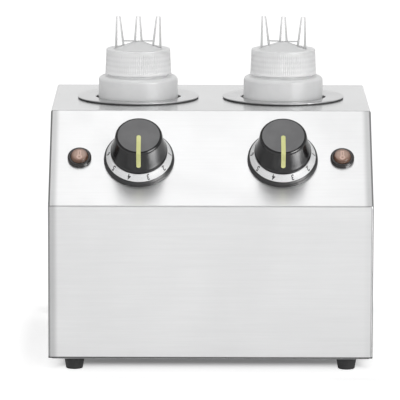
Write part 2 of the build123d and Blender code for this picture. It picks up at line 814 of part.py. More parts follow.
# ---------------------------------------------------------------- pilot lamps
nut_planes = []
for side_name, side in sides.items():
    x = side * lamp_x
    face = panel_plane(x, lamp_down)
    section = panel_section(x, lamp_down)
    axis = Axis(face.origin, face.z_dir)

    with BuildPart() as lamp_body:
        with BuildSketch(face):
            Circle(lamp_bezel_r)
        extrude(amount=lamp_bezel_h)
        fillet(lamp_body.edges().sort_by(axis)[-1], lamp_bezel_round)
        with BuildSketch(face):
            Circle(lamp_barrel_r)
        extrude(amount=-lamp_barrel_l)
        with BuildSketch(face.offset(lamp_bezel_h)):
            Circle(lens_r + lens_play)
        extrude(amount=-lens_seat, mode=Mode.SUBTRACT)
        with BuildSketch(face.offset(lamp_bezel_h)):
            Circle(lamp_barrel_r - 2 * lamp_wall)
        extrude(amount=-lamp_bezel_h - lamp_barrel_l + lamp_wall, mode=Mode.SUBTRACT)
        with BuildSketch(face.offset(-lamp_barrel_l)):
            with GridLocations(lamp_barrel_r, 0, 2, 1):
                Rectangle(tab_size[1], tab_size[0])
        extrude(amount=-tab_size[2])
    finish(lamp_body, "lamp_body_" + side_name)

    # shallow domed lens
    with BuildPart() as lamp_lens:
        seat_h = lamp_bezel_h - lens_seat
        crown_h = lamp_bezel_h + lens_rise
        with BuildSketch(section):
            with BuildLine():
                TangentArc((0, crown_h), (lens_r, lamp_bezel_h), tangent=(1, 0))
                Polyline((lens_r, lamp_bezel_h), (lens_r, seat_h), (0, seat_h), (0, crown_h))
            make_face()
        revolve(axis=axis)
    finish(lamp_lens, "lamp_lens_" + side_name)

    with BuildPart() as neon:
        with BuildSketch(face.offset(-lamp_barrel_l + lamp_wall)):
            Circle(neon_r)
        extrude(amount=neon_l)
        fillet(neon.edges().sort_by(axis)[-1], neon_r * bulb_round_share)
    finish(neon, "lamp_bulb_" + side_name)
    back_face = panel_plane(x, lamp_down, -sheet)
    nut_planes.append(Plane(origin=back_face.origin, x_dir=(1, 0, 0), z_dir=-back_face.z_dir))

lamp_nuts = nuts(nut_planes, lamp_nut_flats, lamp_nut_h, lamp_barrel_r)
finish(lamp_nuts, "lamp_nuts")

# ---------------------------------------------------------------- mains inlet and terminals
inlet_face = rear_plane(0, inlet_x, inlet_z)
with BuildPart() as mains_inlet:
    with BuildSketch(inlet_face):
        RectangleRounded(inlet_flange[0], inlet_flange[1], inlet_corner)
        with GridLocations(inlet_screw_pitch, 0, 2, 1):
            Circle(inlet_screw[0] + screw_play, mode=Mode.SUBTRACT)
    extrude(amount=inlet_flange[2])
    fillet(mains_inlet.faces().sort_by(Axis.Y)[-1].outer_wire().edges(), inlet_edge_r)
    with BuildSketch(inlet_face):
        RectangleRounded(inlet_body[0] - 2 * screw_play, inlet_body[1] - 2 * screw_play, inlet_corner)
    extrude(amount=-inlet_body[2])
    with BuildSketch(inlet_face.offset(inlet_flange[2])):
        RectangleRounded(inlet_recess[0], inlet_recess[1], inlet_corner)
    extrude(amount=-inlet_recess[2], mode=Mode.SUBTRACT)
finish(mains_inlet, "mains_inlet")

recess_floor = inlet_face.offset(inlet_flange[2] - inlet_recess[2])
with BuildPart() as inlet_pins:
    for px, pz in ((-pin_pitch / 2, pin_low), (0, pin_high), (pin_pitch / 2, pin_low)):
        with BuildSketch(recess_floor):
            with Locations((px, pz)):
                Rectangle(pin_size[0], pin_size[1])
        extrude(amount=pin_size[2])
        back_of_body = inlet_face.offset(-inlet_body[2])
        with BuildSketch(back_of_body):
            with Locations((px, pz)):
                Rectangle(tab_size[1], tab_size[0])
        extrude(amount=-pin_tail)
finish(inlet_pins, "inlet_pins")

inlet_screw_x = (inlet_x - inlet_screw_pitch / 2, inlet_x + inlet_screw_pitch / 2)
inlet_screws = screws([rear_plane(inlet_flange[2], x, inlet_z) for x in inlet_screw_x], inlet_screw)
finish(inlet_screws, "inlet_screws")

pole_pitch = block_size[0] / block_poles
with BuildPart() as terminal_block:
    with BuildSketch(Plane.XY.offset(z_base)):
        with Locations((inlet_x - block_size[0], block_y)):
            Rectangle(block_size[0], block_size[1])
    extrude(amount=block_size[2])
    with BuildSketch(Plane.XY.offset(z_base + block_size[2])):
        with Locations((inlet_x - block_size[0], block_y)):
            with GridLocations(pole_pitch, block_size[1] / 2, block_poles, 2):
                Circle(block_screw_r + screw_play)
    extrude(amount=-block_screw_l - block_screw_sink, mode=Mode.SUBTRACT)
finish(terminal_block, "terminal_block")

with BuildPart() as terminal_screws:
    with BuildSketch(Plane.XY.offset(z_base + block_size[2] - block_screw_sink)):
        with Locations((inlet_x - block_size[0], block_y)):
            with GridLocations(pole_pitch, block_size[1] / 2, block_poles, 2):
                Circle(block_screw_r)
    extrude(amount=-block_screw_l)
finish(terminal_screws, "terminal_screws")

with BuildPart() as earth_stud:
    with BuildSketch(Plane.XY.offset(z_base - base_t)):
        with Locations((earth_x, block_y)):
            Circle(earth_stud_r)
    extrude(amount=earth_stud_l)
    with BuildSketch(Plane.XY.offset(z_base)):
        with Locations((earth_x, block_y)):
            RegularPolygon(earth_nut_flats / 2, 6, major_radius=False)
    extrude(amount=earth_nut_h)
finish(earth_stud, "earth_stud")

# ---------------------------------------------------------------- leads
block_x = inlet_x - block_size[0]
pole_x = [block_x + (i - (block_poles - 1) / 2) * pole_pitch for i in range(block_poles)]
block_z = z_base + block_size[2] / 2
tail_y = y_back + rear_t - inlet_body[2] - pin_tail
supply_ends = [
    (inlet_x - pin_pitch / 2, inlet_z + pin_low, pole_x[-2], block_y + block_size[1] / 2, block_z),
    (inlet_x + pin_pitch / 2, inlet_z + pin_low, pole_x[-1], block_y + block_size[1] / 2, block_z),
    (inlet_x, inlet_z + pin_high, earth_x, block_y + earth_nut_flats / 2, z_base + earth_nut_h / 2),
]
with BuildPart() as supply_leads:
    for start_x, start_z, end_x, end_y, end_z in supply_ends:
        route = [
            Vector(start_x, tail_y, start_z),
            Vector(start_x, tail_y - lead_run, start_z),
            Vector(end_x, end_y + lead_run, end_z),
            Vector(end_x, end_y, end_z),
        ]
        add(tube(route, supply_lead_r))
finish(supply_leads, "supply_leads")

block_front = block_y - block_size[1] / 2
lead_circle_r = well_out_r + band_t / 2
meet_x = lead_circle_r * cos(lead_angle * pi / 180)
meet_y = well_y - lead_circle_r * sin(lead_angle * pi / 180)
with BuildPart() as circuit_leads:
    for side, heater_pole, control_pole in ((-1, pole_x[0], pole_x[1]), (1, pole_x[-1], pole_x[-3])):
        # terminal block to the band's lower edge
        band_x = side * (well_x - meet_x)
        route = [
            Vector(heater_pole, block_front, block_z),
            Vector(heater_pole, meet_y + lead_run / 4, block_z),
            Vector(band_x, meet_y, z_band - heater_drop),
            Vector(band_x, meet_y, z_band),
        ]
        add(tube(route, circuit_lead_r))
        # terminal block to the thermostat's inner tab
        tab_end = panel_plane(side * (knob_x - tab_pitch), knob_down, -sheet - thermostat_plate[2])
        tab_end = tab_end.offset(-thermostat_size[2] - tab_size[2])
        tab_end.origin += tab_end.y_dir * thermostat_size[1] / 4
        bend = tab_end.origin - tab_end.z_dir * lead_run
        route = [
            Vector(control_pole, block_front, block_z),
            Vector(control_pole, block_front - control_run, block_z),
            bend,
            tab_end.origin,
        ]
        add(tube(route, circuit_lead_r))
        # thermostat's outer tab to the band's upper edge
        outward = Vector(side * 2 * tab_pitch, 0, 0)
        band_x = side * (well_x + meet_x)
        route = [
            tab_end.origin + outward,
            bend + outward,
            Vector(band_x, meet_y, (bend + outward).Z),
            Vector(band_x, meet_y, z_band + band_h),
        ]
        add(tube(route, circuit_lead_r))
finish(circuit_leads, "circuit_leads")

# ---------------------------------------------------------------- bottles
z_shoulder = z_flange + shoulder_h
z_low = z_flange + collar_low_h
z_high = z_flange + collar_top_h
z_apex = z_flange + apex_h
z_tip = z_flange + tip_h
z_rim = z_high - collar_top_t - insert_disc_t - 2 * collar_gap
collar_bore_r = neck_r + thread_depth + collar_play

# the nozzles' sides carry on straight down to the collar's top, where they meet the dome's rim
nozzle_drop = (z_apex - z_high) / (z_tip - z_apex)
nozzle_foot_r = nozzle_r + (nozzle_r - tip_r) * nozzle_drop
foot_spacing = nozzle_spacing - (tip_spacing - nozzle_spacing) * nozzle_drop
nozzle_foot_bore_r = nozzle_bore_r + (nozzle_bore_r - tip_bore_r) * nozzle_drop
dome_r = foot_spacing + nozzle_foot_r
collar_hole_r = dome_r + insert_play


def thread(root_r, crest_r, z_start):
    """A helical ridge from just inside its wall at root_r to crest_r, about the Z axis."""
    toward = 1 if crest_r > root_r else -1
    with BuildPart() as ridge:
        with BuildLine() as path:
            rise = thread_pitch * thread_turns
            Helix(pitch=thread_pitch, height=rise, radius=root_r, center=(0, 0, z_start))
        with BuildSketch(Plane(origin=path.line @ 0, x_dir=(toward, 0, 0), z_dir=path.line % 0)):
            with BuildLine():
                Polyline(
                    (-thread_sink, -thread_root_w / 2),
                    (abs(crest_r - root_r), -thread_crest_w / 2),
                    (abs(crest_r - root_r), thread_crest_w / 2),
                    (-thread_sink, thread_root_w / 2),
                    close=True,
                )
            make_face()
        sweep(path=path.line, is_frenet=True)
    return ridge.part


for side_name, side in sides.items():
    place = Location((side * well_x, well_y, 0), (0, 0, row_turn[side_name]))

    with BuildPart() as bottle:
        outside = [
            (0, z_bottle + push_up),
            (bottle_stand_r, z_bottle),
            (bottle_r, z_bottle, bottle_base_r),
            (bottle_r, z_shoulder, bottle_corner_r),
            (neck_r, z_shoulder),
            (neck_r, z_rim),
            (0, z_rim),
        ]
        inside_r = bottle_r - bottle_wall
        inside = [
            (0, z_bottle + push_up + bottle_wall),
            (bottle_stand_r, z_bottle + bottle_wall),
            (inside_r, z_bottle + bottle_wall, bottle_base_r - bottle_wall),
            (inside_r, z_shoulder - bottle_wall, bottle_corner_r - bottle_wall),
            (neck_r - neck_wall, z_shoulder - bottle_wall),
            (neck_r - neck_wall, z_rim),
            (0, z_rim),
        ]
        revolve(rounded_face(Plane.XZ, outside), axis=Axis.Z)
        revolve(rounded_face(Plane.XZ, inside), axis=Axis.Z, mode=Mode.SUBTRACT)
        add(thread(neck_r, neck_r + thread_depth, z_flange + thread_start_h))
    finish(bottle, "bottle_" + side_name, place)

    # collar: a knurled screw ring with an inward flange over the insert
    with BuildPart() as collar:
        shell = [
            (collar_bore_r, z_low),
            (collar_low_r, z_low),
            (collar_top_r, z_high),
            (collar_hole_r, z_high),
            (collar_hole_r, z_high - collar_top_t),
            (collar_bore_r, z_high - collar_top_t),
        ]
        revolve(rounded_face(Plane.XZ, shell), axis=Axis.Z)
        rim = collar.edges().filter_by(GeomType.CIRCLE).group_by(Axis.Z)[-1].sort_by(SortBy.RADIUS)[-1]
        chamfer(rim, collar_chamfer)
        add(thread(collar_bore_r, neck_r + collar_play, z_flange + thread_start_h + thread_pitch / 2))
    finish(collar, "collar_" + side_name, place)

    # nozzle insert: a disc with a low conical dome and three nozzles in a row, joined by a web
    with BuildPart() as insert:
        z_disc = z_rim + collar_gap
        dome = [
            (0, z_disc),
            (neck_r, z_disc),
            (neck_r, z_disc + insert_disc_t),
            (dome_r, z_disc + insert_disc_t),
            (dome_r, z_high),
            (0, z_apex),
        ]
        revolve(rounded_face(Plane.XZ, dome), axis=Axis.Z)
        with BuildSketch(Plane.XY.offset(z_disc + insert_disc_t)):
            Rectangle(2 * foot_spacing, web_t)
        extrude(amount=z_apex - z_disc - insert_disc_t)
        for step in (-1, 0, 1):
            with BuildSketch(Plane.XY.offset(z_high)):
                with Locations((step * foot_spacing, 0)):
                    Circle(nozzle_foot_r)
            with BuildSketch(Plane.XY.offset(z_tip)):
                with Locations((step * tip_spacing, 0)):
                    Circle(tip_r)
            loft()
        hollow = [
            (0, z_disc),
            (dome_r - insert_wall, z_disc),
            (dome_r - insert_wall, z_high - insert_wall),
            (0, z_apex - insert_wall),
        ]
        revolve(rounded_face(Plane.XZ, hollow), axis=Axis.Z, mode=Mode.SUBTRACT)
        for step in (-1, 0, 1):
            with BuildSketch(Plane.XY.offset(z_high)):
                with Locations((step * foot_spacing, 0)):
                    Circle(nozzle_foot_bore_r)
            with BuildSketch(Plane.XY.offset(z_tip)):
                with Locations((step * tip_spacing, 0)):
                    Circle(tip_bore_r)
            loft(mode=Mode.SUBTRACT)
    finish(insert, "nozzle_" + side_name, place)
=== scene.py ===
import json
from math import atan2, cos, pi, radians, sin, tan

import bmesh
import bpy
from mathutils import Matrix, Vector


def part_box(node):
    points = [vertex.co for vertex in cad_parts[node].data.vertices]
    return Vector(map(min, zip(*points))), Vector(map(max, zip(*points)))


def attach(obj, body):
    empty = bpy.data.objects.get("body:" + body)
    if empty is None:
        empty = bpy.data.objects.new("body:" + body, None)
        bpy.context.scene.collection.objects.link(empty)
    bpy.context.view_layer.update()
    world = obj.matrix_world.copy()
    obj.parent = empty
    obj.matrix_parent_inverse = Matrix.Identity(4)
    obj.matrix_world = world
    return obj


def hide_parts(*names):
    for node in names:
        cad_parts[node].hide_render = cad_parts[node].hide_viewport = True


# Two-bottle topping warmer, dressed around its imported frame. All sizes are in metres.
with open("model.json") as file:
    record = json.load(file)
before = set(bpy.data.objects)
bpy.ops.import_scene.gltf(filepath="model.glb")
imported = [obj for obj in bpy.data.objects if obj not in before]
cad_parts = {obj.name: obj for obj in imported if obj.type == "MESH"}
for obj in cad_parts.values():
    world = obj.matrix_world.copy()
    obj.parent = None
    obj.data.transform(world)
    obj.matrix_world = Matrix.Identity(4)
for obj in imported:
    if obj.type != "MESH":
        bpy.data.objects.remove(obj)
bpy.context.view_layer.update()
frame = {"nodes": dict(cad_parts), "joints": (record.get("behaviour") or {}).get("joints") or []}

nodes = frame["nodes"]
joints = {joint["name"]: joint for joint in frame["joints"]}
SIDES = ("left", "right")

# ---- sizes
# Knob and its dial; heights are measured out from the control panel
knob_face_r = 0.02295
knob_face_h = 0.0376
knob_base_r = 0.0281
knob_low_h = 0.01295
knob_rim_round = 0.0026
knob_waist = 0.00055
knob_wall = 0.0024
knob_crown = 0.003
knob_shoulder_in = 0.0038
knob_hub_r = 0.007
knob_hub_low_h = 0.0056
knob_bore_r = 0.0031
knob_bore_top_h = 0.028
knob_lip_h = 0.0011
knob_lip = 0.0005
knob_rim_share = 0.8      # the share of the rim's round that keeps the side's gloss
knob_side_steps = 8
knob_face_reach = 0.0001  # how far below the top a face still counts as the knob's face
pointer_w = 0.0043
pointer_proud = 0.0004
pointer_sink = 0.0006
pointer_end_h = 0.0197
pointer_grid = (8, 72)
pointer_bend = pi / 2 - 0.2
pointer_bend_steps = 6
pointer_fall_steps = 6
dial_r = 0.035
dial_lip_r = 0.0345
dial_lip_h = 0.0032
dial_lip_round = 0.0012
dial_rim_r = 0.0327
dial_rim_h = 0.0052
ring_in_r = 0.0281
ring_top_h = 0.0115
ring_t = 0.0008
dial_wall = 0.0016
dial_floor_t = 0.0025
dial_hole_r = 0.0052
dial_foot_round = 0.0003
dial_edge_round = 0.0002
digit_h = 0.0058
digit_squeeze = 0.78
digit_stroke = 0.00007
digit_weight = 0.00016
digit_cap = 0.73          # a figure's height, as a share of its font size
digit_first = 90.0
digit_step = 36.0
digit_count = 6

# Pilot lamps
lamp_bezel_r = 0.0118
lamp_bezel_h = 0.0034
lamp_bezel_round = 0.0014
lamp_barrel_r = 0.0099
lamp_barrel_l = 0.024
lamp_bore_r = 0.0075
lamp_floor_t = 0.0012
lamp_tab = (0.0008, 0.0063, 0.008)
lamp_barrel_round = 0.0004
lamp_foot_round = 0.0003
lamp_lip_round = 0.0002
lens_r = 0.0087
lens_face_r = 0.0076
lens_rise = 0.0028
lens_crown = 0.0002
lens_round = 0.0008
lens_seat = 0.0022
lens_play = 0.00015
figure_stem = (0.0036, -0.0012, 0.0052)
figure_slit = (0.0011, -0.0004, 0.0036)
figure_bulb = (-0.0031, 0.0028, 0.0011)
figure_t = 0.00016
figure_proud = 0.00008
figure_grid = (2, 6)

# Painted shade along the casing's side edges and at its hem, and how far each takes the steel towards a dark
# colour
edge_shade_line_w = 0.0013
edge_shade_line_fade = 2.5
edge_shade_line_depth = 0.85
edge_shade_w = 0.0045
edge_shade_fade_w = 0.006
edge_shade_depth = 0.42
edge_shade_right_cut = 0.85
hem_shade_w = 0.0018
hem_shade_depth = 0.88

# How a face's normal leans, which tells the casing's faces apart
side_lean = 0.7
top_lean = 0.95
front_lean = -0.3
plumb_lean = -0.95
under_lean = -0.5

# Wells
well_r = 0.043
well_wall = 0.001
well_floor_r = 0.009
well_lip_r = 0.002
flange_t = 0.0012
flange_edge_r = 0.0004
stud_circle_r = 0.053
stud_r = 0.002
stud_l = 0.009
stud_count = 3
stud_angle = 30.0
stud_taper = 0.0004
edge_lean = 0.4           # a face at the flange's rim that leans up by less is its sheared edge

# Collars and feet
collar_ribs = 96
collar_rib_depth = 0.00042
collar_rib_steps = 6
collar_band = 0.0022
collar_top_t = 0.0018
collar_bore_r = 0.0314
collar_hole_r = 0.02422
collar_taper = 0.0014
collar_top_round = 0.00045
collar_low_round = 0.0003
thread_pitch = 0.005
thread_turns = 1.25
thread_crest_r = 0.030
thread_root_w = 0.0022
thread_crest_w = 0.001
thread_sink = 0.0003
collar_thread_up = 0.0085
collar_rib_levels = 10
collar_rib_low = 0.0012
collar_rib_inset = 0.0003
collar_rib_fade = (0.0008, 0.0015)
collar_rib_reach = 0.0004
collar_rib_slack = 1e-5
collar_hole_round = 0.0003
foot_top_r = 0.0106
foot_bottom_r = 0.0083
foot_edge_r = 0.0009
foot_bore_r = 0.004
foot_bore_depth = 0.0065
foot_screw_r = 0.0022

# Nozzle insert: its low dome stands above the collar's top
dome_apex_h = 0.0082
dome_r = 0.0238
insert_turns = {"left": 0.0, "right": radians(-12)}
dome_fade = (0.0002, 0.0006)
web_half_t = 0.0013
web_edge = (-0.0012, 0.0002)
web_lean = 0.6
web_density = 0.95
dome_density = 0.85

# Painted glow (emission) in the gap between a bottle's shoulder and its collar
gap_glow = 0.1
gap_glow_in = 0.002
gap_glow_out = 0.0015

# How finely the pieces are spun, and how near points are merged
corner_segments = 5
well_steps = 144
stud_steps = 24
foot_steps = 64
dial_steps = 160
lamp_steps = 96
figure_steps = 40
thread_steps = 80
weld_gap = 1e-6

# Camera
camera_lens = 357.99
camera_sensor = 36.0
camera_distance = 3.8984
camera_elevation = radians(9.397)
camera_roll = radians(0.134)
camera_side = -0.010664
camera_height = 0.1583
camera_clip = (0.1, 30.0)

# Floor: each ramp runs between two distances outside the casing's edge, and adds some light
floor_size = 9.0
floor_gloss = 0.63
under_ramp = (-0.11, -0.07, 0.14)
front_ramp = (-0.056, -0.025, 0.55)
side_ramp = (-0.03, -0.002, 0.69)
contact_ramp = (-0.02, 0.03, -0.41)
side_far_ramp = (-0.01, 0.06, 0.25)
far_ramp = (0.0, 0.12, 0.27)

# Studio: its light on matt surfaces, and what polished ones see from the horizon upwards
studio_matt = 0.68
studio_brink = 0.35
studio_brink_tilt = 0.25
studio_brink_least = 0.15
studio_fall_w = 0.16
studio_dim = 0.42
studio_rise = (0.8, 0.93, 0.28)

# ---- places from the frame
casing_low, casing_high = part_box("casing_shell")
base_z = casing_low.z


def middle(node):
    """The middle of a node's box."""
    low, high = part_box(node)
    return (low + high) / 2


def plan_spot(node):
    """The middle of a node's box in plan, at no height."""
    spot = middle(node)
    return Vector((spot.x, spot.y, 0))


def panel_place(origin):
    """Local X to the right, Y up the slope and Z out of the control panel, from a point on it."""
    out = -Vector(joints["knob_left_turn"]["axis"]).normalized()
    across = Vector((1, 0, 0))
    place = Matrix((across, out.cross(across), out)).transposed().to_4x4()
    place.translation = origin
    return place


def knob_place(side):
    """The place of a knob and its dial."""
    return panel_place(joints["knob_" + side + "_turn"]["pos_m"])


def lamp_place(side):
    """The place of a lamp: its lens's middle, dropped onto the control panel."""
    knob = knob_place("left")
    spot = knob.inverted() @ middle("lamp_lens_" + side)
    spot.z = 0
    return panel_place(knob @ spot)


# ---- mesh helpers
def outline(bm, points, closed=False):
    """A wire of (radius, height) points in the XZ plane; a third number rounds that corner."""
    verts = [bm.verts.new((point[0], 0, point[1])) for point in points]
    pairs = list(zip(verts, verts[1:]))
    if closed:
        pairs.append((verts[-1], verts[0]))
    for pair in pairs:
        bm.edges.new(pair)
    for index, point in enumerate(points):
        if len(point) == 3:
            here = Vector(point[:2])
            before = Vector(points[index - 1][:2]) - here
            after = Vector(points[(index + 1) % len(points)][:2]) - here
            half_turn = (pi - before.angle(after)) / 2
            bmesh.ops.bevel(
                bm, geom=[verts[index]], offset=point[2] * tan(half_turn), segments=corner_segments,
                profile=0.5, affect="VERTICES", material=-1,
            )


def weld(bm):
    """Merges points that meet, and turns the faces outward."""
    bmesh.ops.remove_doubles(bm, verts=bm.verts, dist=weld_gap)
    bmesh.ops.recalc_face_normals(bm, faces=bm.faces)


def spun(points, steps, closed=False):
    """A solid of revolution about Z."""
    bm = bmesh.new()
    outline(bm, points, closed)
    wire = bm.verts[:] + bm.edges[:]
    bmesh.ops.spin(
        bm, geom=wire, axis=(0, 0, 1), cent=(0, 0, 0), steps=steps, angle=2 * pi, use_merge=True
    )
    weld(bm)
    return bm


def join(target, part):
    """Adds the shapes of one bmesh to another."""
    mesh = bpy.data.meshes.new("joined")
    part.to_mesh(mesh)
    part.free()
    target.from_mesh(mesh)
    bpy.data.meshes.remove(mesh)


def moved(bm, matrix):
    """Moves or turns a whole bmesh."""
    bmesh.ops.transform(bm, matrix=matrix, verts=bm.verts)
    return bm


def placed(name, data):
    """Puts a mesh, text, lamp or camera in the scene."""
    item = bpy.data.objects.new(name, data)
    bpy.context.scene.collection.objects.link(item)
    return item


def show(name, bm, finishes, body, replaces=(), sharp=32.0):
    """Makes a finished piece of a bmesh, which rides on a body and may stand for CAD nodes.

    Edges that turn by more than the sharp angle, in degrees, stay sharp.
    """
    weld(bm)
    mesh = bpy.data.meshes.new(name)
    bm.to_mesh(mesh)
    bm.free()
    for finish in finishes:
        mesh.materials.append(finish)
    mesh.shade_smooth()
    mesh.set_sharp_from_angle(angle=radians(sharp))
    piece = placed(name, mesh)
    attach(piece, body)
    if replaces:
        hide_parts(*replaces)


# ---- node helpers
def feed(tree, value, socket):
    """Links a value to a socket, or sets a plain one there, a colour with its alpha."""
    if isinstance(value, bpy.types.NodeSocket):
        tree.links.new(value, socket)
    else:
        socket.default_value = (*value, 1.0) if socket.type == "RGBA" else value


def put(tree, kind, inputs=None, **settings):
    """Adds a shader node, sets it up and links or fills its inputs."""
    node = tree.nodes.new(kind)
    for key, value in settings.items():
        setattr(node, key, value)
    for key, value in (inputs or {}).items():
        feed(tree, value, node.inputs[key])
    return node


def maths(tree, operation, first, second=0.0, third=0.0):
    """One step of arithmetic."""
    return put(tree, "ShaderNodeMath", {0: first, 1: second, 2: third}, operation=operation).outputs[0]


def times(tree, first, second):
    """The product of two values."""
    return maths(tree, "MULTIPLY", first, second)


def varied(tree, mask, gain, base):
    """A base value, to which a mask adds up to a gain."""
    return maths(tree, "MULTIPLY_ADD", mask, gain, base)


def blend_colours(tree, factor, first, second):
    """Mixes two colours, each of them linked or plain."""
    inputs = {"Factor": factor, 6: first, 7: second}
    return put(tree, "ShaderNodeMix", inputs, data_type="RGBA").outputs[2]


def blend_vectors(tree, factor, first, second):
    inputs = {"Factor": factor, 4: first, 5: second}
    return put(tree, "ShaderNodeMix", inputs, data_type="VECTOR").outputs[1]


def blend_values(tree, factor, first, second):
    inputs = {"Factor": factor, 2: first, 3: second}
    return put(tree, "ShaderNodeMix", inputs, data_type="FLOAT").outputs[0]


def spread(tree, value, low, high, to_low, to_high):
    """Maps one range of values onto another, with a smooth start and end."""
    inputs = {"Value": value, "From Min": low, "From Max": high, "To Min": to_low, "To Max": to_high}
    return put(tree, "ShaderNodeMapRange", inputs, interpolation_type="SMOOTHSTEP").outputs[0]


def object_coordinates(tree):
    return put(tree, "ShaderNodeTexCoord").outputs["Object"]


def surface_normal(tree):
    return put(tree, "ShaderNodeTexCoord").outputs["Normal"]


def centred(tree, spot, turn=(0, 0, 0)):
    """Object coordinates about a place on the piece."""
    inputs = {"Vector": object_coordinates(tree), "Location": spot, "Rotation": turn}
    return put(tree, "ShaderNodeMapping", inputs, vector_type="TEXTURE").outputs[0]


def parts(tree, vector):
    """The X, Y and Z of a vector."""
    return put(tree, "ShaderNodeSeparateXYZ", {0: vector}).outputs


def off_axis(tree, spot):
    """How far a spot, given by its parts, lies from the Z axis."""
    flat = put(tree, "ShaderNodeCombineXYZ", {0: spot[0], 1: spot[1]}).outputs[0]
    return put(tree, "ShaderNodeVectorMath", {0: flat}, operation="LENGTH").outputs["Value"]


def group(name, inputs, outputs):
    """An empty node group with float or vector inputs and float outputs."""
    tree = bpy.data.node_groups.new(name, "ShaderNodeTree")
    for label, start in inputs.items():
        kind = "NodeSocketVector" if start is None else "NodeSocketFloat"
        socket = tree.interface.new_socket(name=label, in_out="INPUT", socket_type=kind)
        if start is not None:
            socket.default_value = start
    for label in outputs:
        tree.interface.new_socket(name=label, in_out="OUTPUT", socket_type="NodeSocketFloat")
    return tree, tree.nodes.new("NodeGroupInput").outputs, tree.nodes.new("NodeGroupOutput").inputs


def use(tree, node_group, inputs):
    """Places a group in a material and gives back its outputs."""
    return put(tree, "ShaderNodeGroup", inputs, node_tree=node_group).outputs


# ---- effect groups
def streak_group():
    """Fine brush lines along X: how light each line is, and how high."""
    wanted = {"Vector": None, "Lines": 1500.0, "Length": 14.0}
    tree, given, result = group("brush_lines", wanted, ("Shade", "Height"))
    x, y, z = parts(tree, given["Vector"])
    along = times(tree, x, given["Length"])
    fields = []
    for ratio in (1.0, 0.22):
        lines = times(tree, given["Lines"], ratio)
        stretched = {0: along, 1: times(tree, y, lines), 2: times(tree, z, lines)}
        place = put(tree, "ShaderNodeCombineXYZ", stretched).outputs[0]
        inputs = {"Vector": place, "Scale": 1.0, "Detail": 2.0, "Roughness": 0.6}
        fields.append(put(tree, "ShaderNodeTexNoise", inputs).outputs["Fac"])
    fine, coarse = fields
    shade = varied(tree, coarse, gain=0.6, base=times(tree, fine, 0.4))
    tree.links.new(shade, result["Shade"])
    tree.links.new(fine, result["Height"])
    return tree


def ring_group():
    """Lathe marks round Z: how light each ring is, and how high."""
    tree, given, result = group("lathe_rings", {"Vector": None, "Rings": 2500.0}, ("Shade", "Height"))
    radius = off_axis(tree, parts(tree, given["Vector"]))
    inputs = {"W": times(tree, radius, given["Rings"]), "Scale": 1.0, "Detail": 2.0}
    noise = put(tree, "ShaderNodeTexNoise", inputs, noise_dimensions="1D").outputs["Fac"]
    tree.links.new(noise, result["Shade"])
    tree.links.new(noise, result["Height"])
    return tree


def grain_group():
    """The fine grain of a moulding: its height, and a slow mottle."""
    wanted = {"Vector": None, "Grain": 2600.0, "Mottle": 60.0}
    tree, given, result = group("moulded_grain", wanted, ("Height", "Mottle"))
    for scale, label, detail in (("Grain", "Height", 2.0), ("Mottle", "Mottle", 4.0)):
        inputs = {"Vector": given["Vector"], "Scale": given[scale], "Detail": detail, "Roughness": 0.55}
        tree.links.new(put(tree, "ShaderNodeTexNoise", inputs).outputs["Fac"], result[label])
    return tree


def smudge_group():
    """Faint cloudy handling marks, from 0 to 1."""
    tree, given, result = group("handling_marks", {"Vector": None, "Scale": 18.0}, ("Mask",))
    inputs = {
        "Vector": given["Vector"], "Scale": given["Scale"],
        "Detail": 5.0, "Roughness": 0.6, "Distortion": 0.6,
    }
    clouds = put(tree, "ShaderNodeTexNoise", inputs).outputs["Fac"]
    tree.links.new(spread(tree, clouds, 0.38, 0.68, 0.0, 1.0), result["Mask"])
    return tree


BRUSH = streak_group()
RINGS = ring_group()
GRAIN = grain_group()
SMUDGES = smudge_group()


# ---- materials
def start(name, **sockets):
    """A material with a Principled shader, whose constant values are set on its own sockets."""
    material = bpy.data.materials.new(name)
    material.use_nodes = True
    shader = material.node_tree.nodes["Principled BSDF"]
    for key, value in sockets.items():
        feed(material.node_tree, value, shader.inputs[key.replace("_", " ")])
    return material, material.node_tree, shader.inputs


def bump(tree, height, strength, distance):
    """The normal of a surface with a relief."""
    inputs = {"Height": height, "Strength": strength, "Distance": distance}
    return put(tree, "ShaderNodeBump", inputs).outputs[0]


def clouded(tree, mottle, dark, light):
    """A colour that drifts between two, with a slow mottle."""
    return blend_colours(tree, spread(tree, mottle, 0.3, 0.7, 0.0, 1.0), dark, light)


def surface(tree, shader, colour, rough, normal):
    """Gives a shader its colour and normal, and a roughness that may be plain."""
    tree.links.new(colour, shader["Base Color"])
    feed(tree, rough, shader["Roughness"])
    tree.links.new(normal, shader["Normal"])


